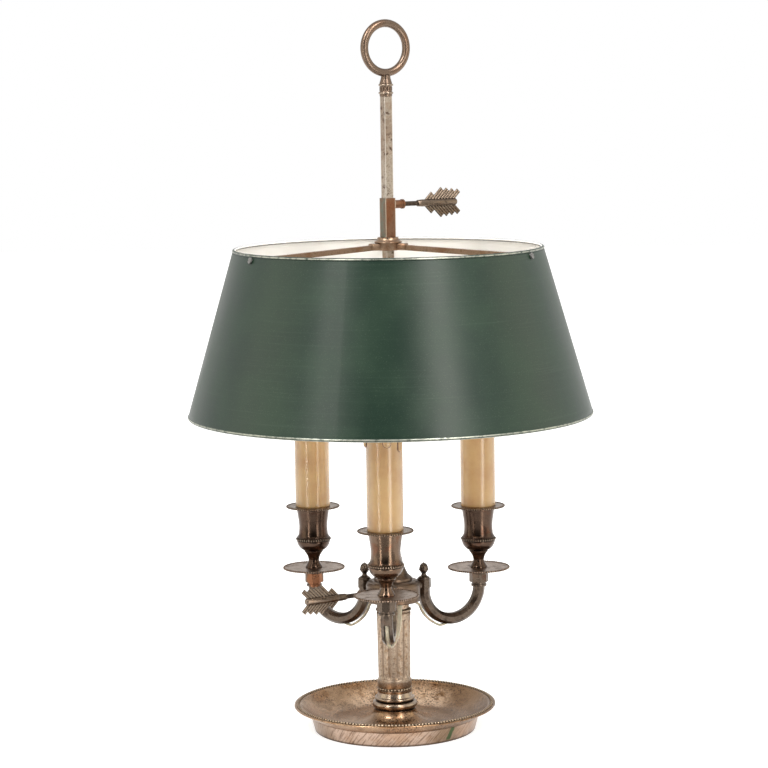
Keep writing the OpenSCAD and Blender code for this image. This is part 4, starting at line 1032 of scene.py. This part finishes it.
def sleeve(drips, phase):
    """The tube's outline goes up outside, over the top and down inside.

    Two sine waves round the tube keep its skin from being true. A drip adds half an ellipse over
    its distance from an upright line that ends at the drip's foot.
    """
    skin_z = np.linspace(0.3, SLEEVE_H - 1.0, SKIN_ROWS)
    top_z = [SLEEVE_H - 0.3, SLEEVE_H, SLEEVE_H, SLEEVE_H - 1, 1.0]
    z = np.concatenate([[0.0, 0.0], skin_z, top_z])[:, None]
    skin = np.concatenate([[0, 0], np.ones(SKIN_ROWS), np.zeros(5)])[:, None]
    base = np.concatenate([[SLEEVE_IN, 14.8], np.full(SKIN_ROWS, SLEEVE_R),
                           [14.9, 14.5, 13.7, SLEEVE_IN, SLEEVE_IN]])[:, None]
    a = np.linspace(0, 2 * np.pi, SLEEVE_COLUMNS, endpoint=False)
    wave = 0.04 * np.sin(3 * a + phase + z * 0.05) + 0.03 * np.sin(5 * a - phase + z * 0.09) - 0.07
    extra = np.zeros((len(z), len(a)))
    dirt = np.exp(-(z / 1.2) ** 2) * 0.8 + extra
    for degrees, foot_z, half, thick in drips:
        aside = ((a - math.radians(degrees) + np.pi) % (2 * np.pi) - np.pi) * SLEEVE_R
        below = np.clip(foot_z - SLEEVE_Z + half - z, 0, None)
        away = np.sqrt(aside**2 + below**2) / half
        extra = np.maximum(extra, thick * np.sqrt(np.clip(1 - away**2, 0, None)))
        dirt = np.maximum(dirt, np.exp(-(((away - 1.02) * half / 0.42) ** 2)))
    r = base + skin * (wave + extra)
    return shell(np.stack([r * np.cos(a), r * np.sin(a), z + SLEEVE_Z + 0 * a], -1)), dirt * skin


for i, arm in enumerate(ARMS):
    drips = [(bearing - (-90 + 120 * i), *drip) for bearing, *drip in DRIPS[arm]]
    made, dirt = sleeve(drips, phase=i * 2.0)
    piece(f"sleeve_{arm}_wax", [on_arm(i, made, CANDLE_R)], "arms", WAX, [f"sleeve_{arm}"],
          "wax_sleeve", dirt=dirt)

# %% [markdown]
# An arrow is a cast feathered end on a round rib. Each feather is a blade between a front edge
# and a back edge, with fine ridges along it, thickest at the rib. Five stand on each side. A
# flat plate with bump would look right from the front only, so the ridges are real.
# %% Arrow screws
FEATHERED, HALF_SPAN = 34.5, 12.75
FEATHERS = (0.72, 1.0, 0.95, 0.90, 0.85)  # how high each one is, as a share of the half span
PAST_RIB = 1.0  # how far the last feather's tip reaches past the rib's end
BLADE_COLUMNS, BLADE_T = 19, 0.88
THIN_END = 0.02  # half the thickness at a blade's root and tip, in millimetres
FROM_EDGE = 0.02  # where the columns begin, as a share of the way from front to back edge


def feather(start, side, pitch, high):
    """A blade that is swept back at 45 degrees.

    It touches the next blade until close to the tip, so that only the tips are notched. One
    grid goes over the near face and back over the far face, and two ridges run along each
    face, as the sine of the way across, with dirt between them.
    """
    u = np.concatenate([[0.0], np.linspace(0, 1, 9), [1.0]])[:, None]
    v = np.linspace(FROM_EDGE, 1 - FROM_EDGE, BLADE_COLUMNS)
    v = np.concatenate([v, v[::-1]])[None, :]
    face = np.repeat([1.0, -1.0], BLADE_COLUMNS)[None, :]
    front = np.stack([u * high, u * high], -1)
    back = np.stack([pitch + u * (high - 0.5 * pitch), u * (high - 0.5 * pitch)], -1)
    flat = front + (back - front) * v[..., None]
    ridge = np.abs(np.sin(2 * np.pi * v)) ** 0.8
    thick = BLADE_T * (0.4 + 0.6 * ridge) * (1 - 0.2 * u)
    thick[[0, -1]] = THIN_END
    blade = np.stack([start + flat[..., 0], face * thick, side * flat[..., 1]], -1)
    return shell(blade, along=False, gap=0.95 - 1.3 * ridge)


def arrow(reach):
    """The rib, turned about the screw's axis with a cone and a chamfered end, and its feathers.

    The feathers are spaced so that the last one's tip ends just past the rib.
    """
    start = reach - FEATHERED
    pitch = (FEATHERED + PAST_RIB - FEATHERS[-1] * HALF_SPAN) / (len(FEATHERS) - 1)
    rib = outline((POLE, start - 4.5), (2.6, start - 4.5), (2.7, start - 4.3), (3.05, start),
                  (3.05, reach - 1.3), (2.8, reach - 0.7), (2.15, reach), (POLE, reach))
    points, quads, gap = turned(rib, 32)
    made = [(points[:, [2, 0, 1]], quads, gap)]
    for k, share in enumerate(FEATHERS):
        made += [feather(start + pitch * k, side, pitch, share * HALF_SPAN) for side in (1, -1)]
    return made


for name, reach, z, degrees in (("shade", 68.6, 446.7, 36), ("arms", 86.0, 119.0, 216)):
    made = [placed(part, turn(degrees), (0, 0, z)) for part in arrow(reach)]
    piece(f"{name}_arrow", made, f"{name}_key", ARROW, [f"{name}_key_arrow"], "dark_patina", crease=40)

# %% [markdown]
# The rod ends in a turned socket with a ring to lift the lamp by. The socket has two round
# mouldings with a row of small upright lobes between them, and a neck that closes on the ring.
# The lobes were filed, so here the turned radius is pressed in between them.
# %% Socket
ROD_TOP, SOCKET_H = 536.6, 16.5
LOBES, LOBE_DEPTH = 12, 0.13  # the depth is a share of the radius


def of_socket(*points):
    """Points whose heights are given as parts of the socket's height."""
    return np.array(points) * (1, SOCKET_H)


def socket_ring(low, high):
    """A moulding between two such heights."""
    return moulding(5.3, low * SOCKET_H, high * SOCKET_H, 9)


socket = outline((2.6, 0.05), (5.1, 0.05), of_socket((5.3, 0.08)), socket_ring(0.12, 0.23),
                 of_socket((5.1, 0.25), (5.35, 0.29), (5.35, 0.38), (5.35, 0.46), (5.1, 0.5)),
                 socket_ring(0.52, 0.63),
                 smooth([*of_socket((5.2, 0.68), (4.6, 0.80), (4.1, 0.91)), (3.8, SOCKET_H + 0.9)], 6),
                 (2.0, SOCKET_H + 0.9), (2.6, 0.05))
points, quads, gap = turned(socket + (0, ROD_TOP), 144)
bearing = np.arctan2(points[:, 1], points[:, 0])
level = (points[:, 2] - ROD_TOP) / SOCKET_H
band = np.clip(1 - np.abs(level - 0.375) / 0.12, 0, 1) ** 0.5
lobes = band * (1 - np.abs(np.cos(LOBES / 2 * bearing)))
points[:, :2] *= 1 - LOBE_DEPTH * lobes[:, None]
crests = sum(np.clip(1 - np.abs(level - middle) / 0.05, 0, 1) for middle in (0.175, 0.575))
piece("ring_socket_turned", [(points, quads, 1.2 * lobes - 0.6 * crests)], "base", RING,
      ["ring_socket"], "copper_plate", crease=40)

# %% [markdown]
# The ring is a round wire bent to a circle: each point is the middle line plus the wire's
# radius in the direction of its angle. Blender has such a ring ready made. Worked out here it
# becomes a piece like the others, with the many sides that its long highlights need.
# %% Ring
RING_R, WIRE_R, ROD_TURN = 20.4, 3.29, 36
t = np.linspace(0, 2 * np.pi, 240, endpoint=False)
w = np.linspace(0, 2 * np.pi, 48, endpoint=False)[:, None]
reach = RING_R + WIRE_R * np.cos(w)
wire = shell(np.stack([reach * np.cos(t), WIRE_R * np.sin(w) + 0 * t, reach * np.sin(t)], -1))
ring_z = ROD_TOP + SOCKET_H + RING_R + WIRE_R - 0.2
piece("ring_bent", [placed(wire, turn(ROD_TURN), (0, 0, ring_z))], "base", RING, ["ring_handle"],
      "copper_plate")

# %% [markdown]
# An acorn screws onto the inner block of each arm. It was turned: a foot, a thin neck, a cup
# with a sharp lip and a round nut with a small point. The three are alike, so one outline is
# turned and set out on each arm, and they share a piece.
# %% Acorns
ACORN_R, ACORN_Z = 29.3, 127.45
acorn_neck = smooth([(4.3, 0.3), (2.5, 1.6), (1.95, 3.2), (3.1, 4.9), (4.0, 6.3)], 8)
acorn_nut = smooth([(3.75, 7.4), (3.7, 8.6), (3.2, 10.2), (2.1, 11.6), (0.9, 12.3)], 8)
acorn = outline((POLE, 0.02), (4.3, 0.02), acorn_neck, (4.2, 6.5), (4.2, 7.2), acorn_nut,
                (0.45, 12.5), (0.3, 12.97), (POLE, 13.0))
made = [on_arm(i, turned(acorn + (0, ACORN_Z), 48), ACORN_R) for i in range(3)]
piece("acorns", made, "arms", ARM, ["arm_finials"], "dark_patina", crease=40)

# %% [markdown]
# The wires are flat twin flex, two round cores side by side in one white skin. The front one
# hangs free from the hub before it turns into its arm. The side ones lie against their arms.
# A wire could be left to fall by physics, but one that was bent by hand keeps its bends. So a
# route is a list of points given one by one where the wire hangs, then points on circles round
# the middle of the arm's bend, and then straight up through the candle.
# %% Wires
HUB_Z, WIRE_TOP = 110.1, 240
BEND_X, BEND_Z, BEND = 55.9, 115.5, 26.6
HUG = BEND + 4.8 / math.cos(math.radians(22.5)) + 1.05 + 0.6  # along the outside of the bend
SLOT = BEND + 2.2  # in the slot of the bend
FLEX_WIDE, FLEX_HIGH = 1.9, 1.05  # half the wire's width and thickness


def round_bend(degrees, r):
    """A point on a circle round the middle of the arm's bend."""
    t = np.radians(np.atleast_1d(degrees))
    return np.stack([BEND_X + r * np.cos(t), 0 * t, BEND_Z + r * np.sin(t)], -1)


up_arm = outline(round_bend(339, BEND + 1), (CANDLE_R, 0, BEND_Z), (CANDLE_R, 0, CUP_Z),
                 (CANDLE_R, 0, WIRE_TOP))
front_fall = np.array([(17.0, 6.4, 6), (17.2, 6.4, 2), (19.0, 6.6, -2.2), (22.5, 6.8, -7.5),
                       (27.0, 6.6, -14), (33.0, 5.6, -21), (40.0, 3.6, -26.8), (47.5, 1.4, -29.4)])
front_way = outline(front_fall + (0, 0, HUB_Z), round_bend(270, HUG), round_bend(281, BEND + 5.4),
                    round_bend(np.arange(292, 330, 12), SLOT), up_arm)
side_fall = np.array([(17.4, 0, 6), (17.6, 0, 2), (18.8, 0, -1.8), (21.4, 0, -4)])
side_way = outline(side_fall + (0, 0, HUB_Z), round_bend(np.arange(200, 243, 10), HUG),
                   round_bend(249, HUG), round_bend(257, BEND + 4.8),
                   round_bend(np.arange(266, 330, 12), SLOT), up_arm)
t = np.linspace(0, 2 * np.pi, 24, endpoint=False)
pinch = 1 - 0.4 * np.exp(-((FLEX_WIDE * np.cos(t) / 0.5) ** 2))
twin = np.stack([FLEX_WIDE * np.cos(t), FLEX_HIGH * np.sin(t) * pinch], -1)
for i, (arm, way) in enumerate(zip(ARMS, (front_way, side_way, side_way))):
    flex = carried(smooth(way, 5), twin, (0, 1, 0))
    piece(f"flex_{arm}", [on_arm(i, flex)], "arms", CABLE, [f"wire_{arm}"], "cable_white", crease=60)

# %% [markdown]
# The lamp stands on a pale table. The table ends 0.3 m in front of the rod, so that light that
# comes from below its top reaches the cups and candles too. Lit by the soft boxes alone it
# would look grey, so to the camera, and in metal and glass, it glows nearly white. The light
# that falls on it still shows the lamp's shadow.
# %% Floor
FLOOR_FRONT, FLOOR_REACH = -0.30, 6
BELOW_FOOT = 0.0002  # so that the foot's underside and the floor don't lie in one plane
FLOOR = finish("floor_white", Roughness=0.9, Specular_IOR_Level=0.0, Base_Color=(0.6, 0.6, 0.6, 1),
               Emission_Color=(1, 1, 1, 1))
seen_by = step(FLOOR, "LightPath").outputs
direct = most(FLOOR, seen_by["Is Camera Ray"], seen_by["Is Glossy Ray"], seen_by["Is Transmission Ray"])
away = step(FLOOR, "VectorMath", {0: here(FLOOR)}, operation="LENGTH").outputs["Value"]
give(FLOOR, Emission_Strength=product(FLOOR, direct, between(FLOOR, away, 0.15, 0.9, 0.76, 1.0)))
sides = [(-1, FLOOR_FRONT), (1, FLOOR_FRONT), (1, FLOOR_REACH), (-1, FLOOR_REACH)]
corners = [(side * FLOOR_REACH, y, -BELOW_FOOT) for side, y in sides]
mesh = bpy.data.meshes.new("floor")
mesh.from_pydata(corners, [], [(0, 1, 2, 3)])
mesh.materials.append(FLOOR)
floor = bpy.data.objects.new("floor", mesh)
bpy.context.scene.collection.objects.link(floor)
print("the floor goes back", FLOOR_REACH, "m")

# %% [markdown]
# The room round the lamp is a plain soft light, a little brighter above. Where the camera or
# glass looks past the lamp they see white. Metal sees the white backdrop behind the lamp, grows
# dark towards the camera's side, and sees the pale room below the table's edge. Walls could be
# built for that. Asking each ray what it is for gives the same and leaves nothing in the way.
# %% Room and backdrop
world = bpy.data.worlds.new("studio")
bpy.context.scene.world = world
world.use_nodes = True
world.node_tree.nodes.clear()


def sky(kind, inputs=None, **settings):
    """One node of the world."""
    return add(world.node_tree, kind, inputs, **settings)


def ramp(value, low, high, to_low, to_high, kind="LINEAR"):
    """value, as it goes from low to high, goes from to_low to to_high."""
    inputs = {"Value": value, "From Min": low, "From Max": high, "To Min": to_low, "To Max": to_high}
    return sky("MapRange", inputs, interpolation_type=kind).outputs[0]


def glowing(colour, strength):
    """Light of one colour from all round."""
    return sky("Background", {"Color": (*colour, 1), "Strength": strength}).outputs[0]


def either(chooser, no, yes):
    """The second light where the chooser is 1, and else the first."""
    return sky("MixShader", {0: chooser, 1: no, 2: yes}).outputs[0]


rays = sky("LightPath").outputs
heading = sky("SeparateXYZ", {0: sky("TexCoord").outputs["Generated"]}).outputs
above = ramp(heading["Z"], 0.0, 1.0, 0.20, 0.80)
behind = ramp(heading["Y"], -0.95, -0.2, 0.06, 0.92, "SMOOTHSTEP")
below = ramp(heading["Z"], 0.0, -0.14, 0.0, 0.72, "SMOOTHSTEP")
mirrored = sky("Math", {0: behind, 1: below}, operation="MAXIMUM").outputs[0]
seen = glowing((1, 1, 1), 1.0)
around = either(rays["Is Glossy Ray"], glowing((1, 0.98, 0.94), above), glowing((1, 0.99, 0.97), mirrored))
around = either(rays["Is Transmission Ray"], around, seen)
around = either(rays["Is Camera Ray"], around, seen)
sky("OutputWorld", {"Surface": around})
print("the room has", len(world.node_tree.nodes), "nodes")

# %% [markdown]
# The camera stands more than two metres away and 0.56 m up, with a long lens, and looks slightly
# down at the candles' tops. A shorter lens from nearby would spread the foot and the shade. Its
# turn about the lamp and its small roll are set here.
# %% Camera
VIEW_TURN, PITCH, ROLL = 4.1, math.radians(6.82), math.radians(0.86)
STAND = (-0.0052, -2.210, 0.560)
SENSOR, RENDER_PX, FOCAL_PX = 36, 768, 2641
around_lamp = Matrix.Rotation(math.radians(VIEW_TURN), 4, "Z")
ahead = around_lamp @ Vector((0, math.cos(PITCH), -math.sin(PITCH)))
sideways = around_lamp @ Vector((1, 0, 0))
upright = sideways.cross(ahead)
rolled = Matrix.Rotation(ROLL, 3, ahead)
pose = Matrix((rolled @ sideways, rolled @ upright, -ahead)).transposed().to_4x4()
pose.translation = around_lamp @ Vector(STAND)
camera = bpy.data.objects.new("camera", bpy.data.cameras.new("camera"))
bpy.context.scene.collection.objects.link(camera)
camera.matrix_world = pose
camera.data.sensor_width = SENSOR
camera.data.lens = SENSOR * FOCAL_PX / RENDER_PX
camera.data.clip_start = 0.05
bpy.context.scene.camera = camera
bpy.context.scene.view_settings.view_transform = "Standard"
print("lens", round(camera.data.lens, 1), "mm")

# %% [markdown]
# Two tall soft boxes stand to the left and right of the camera and reach below the table's
# top. The left one is narrow and draws a crisp upright line on the smooth cups; the right one
# is broad and stronger. Two wide, weaker and warmer ones stand beside the lamp and lift the
# shade's flanks, and two high ones reach over the shade's edge to its white inside. An image
# of a studio could light the lamp too, but boxes can be moved one at a time.
# %% Lights
PALE_WARM = (1.0, 0.97, 0.91)


def soft_box(name, degrees, distance, height, size, watts, colour=(1, 1, 1), aim=None):
    """A flat light at an angle round the lamp, counted from the camera's side.

    It faces the rod, level or at the height aim.
    """
    lamp = bpy.data.lights.new(name, "AREA")
    lamp.shape = "RECTANGLE"
    lamp.size, lamp.size_y = size
    lamp.energy = watts
    lamp.color = colour
    o = bpy.data.objects.new(name, lamp)
    bpy.context.scene.collection.objects.link(o)
    a = math.radians(-90 + VIEW_TURN + degrees)
    o.location = (distance * math.cos(a), distance * math.sin(a), height)
    target = Vector((0, 0, height if aim is None else aim))
    o.rotation_euler = (target - o.location).to_track_quat("-Z", "Y").to_euler()
    print(name, watts, "W")


soft_box("box_left", -38, 1.7, 0.6, (0.14, 2.6), 12.0, PALE_WARM)
soft_box("box_right", 33, 1.7, 0.6, (0.40, 2.6), 22.0, PALE_WARM)
soft_box("side_left", -80, 1.7, 0.7, (1.1, 1.4), 3.6, (1.0, 0.95, 0.70))
soft_box("side_right", 90, 1.7, 0.7, (1.1, 1.4), 3.0, (1.0, 0.93, 0.62))
soft_box("high_left", -44, 1.15, 1.8, (0.4, 0.7), 18, aim=0.35)
soft_box("high_right", 35, 1.15, 1.8, (0.4, 0.7), 18, aim=0.35)
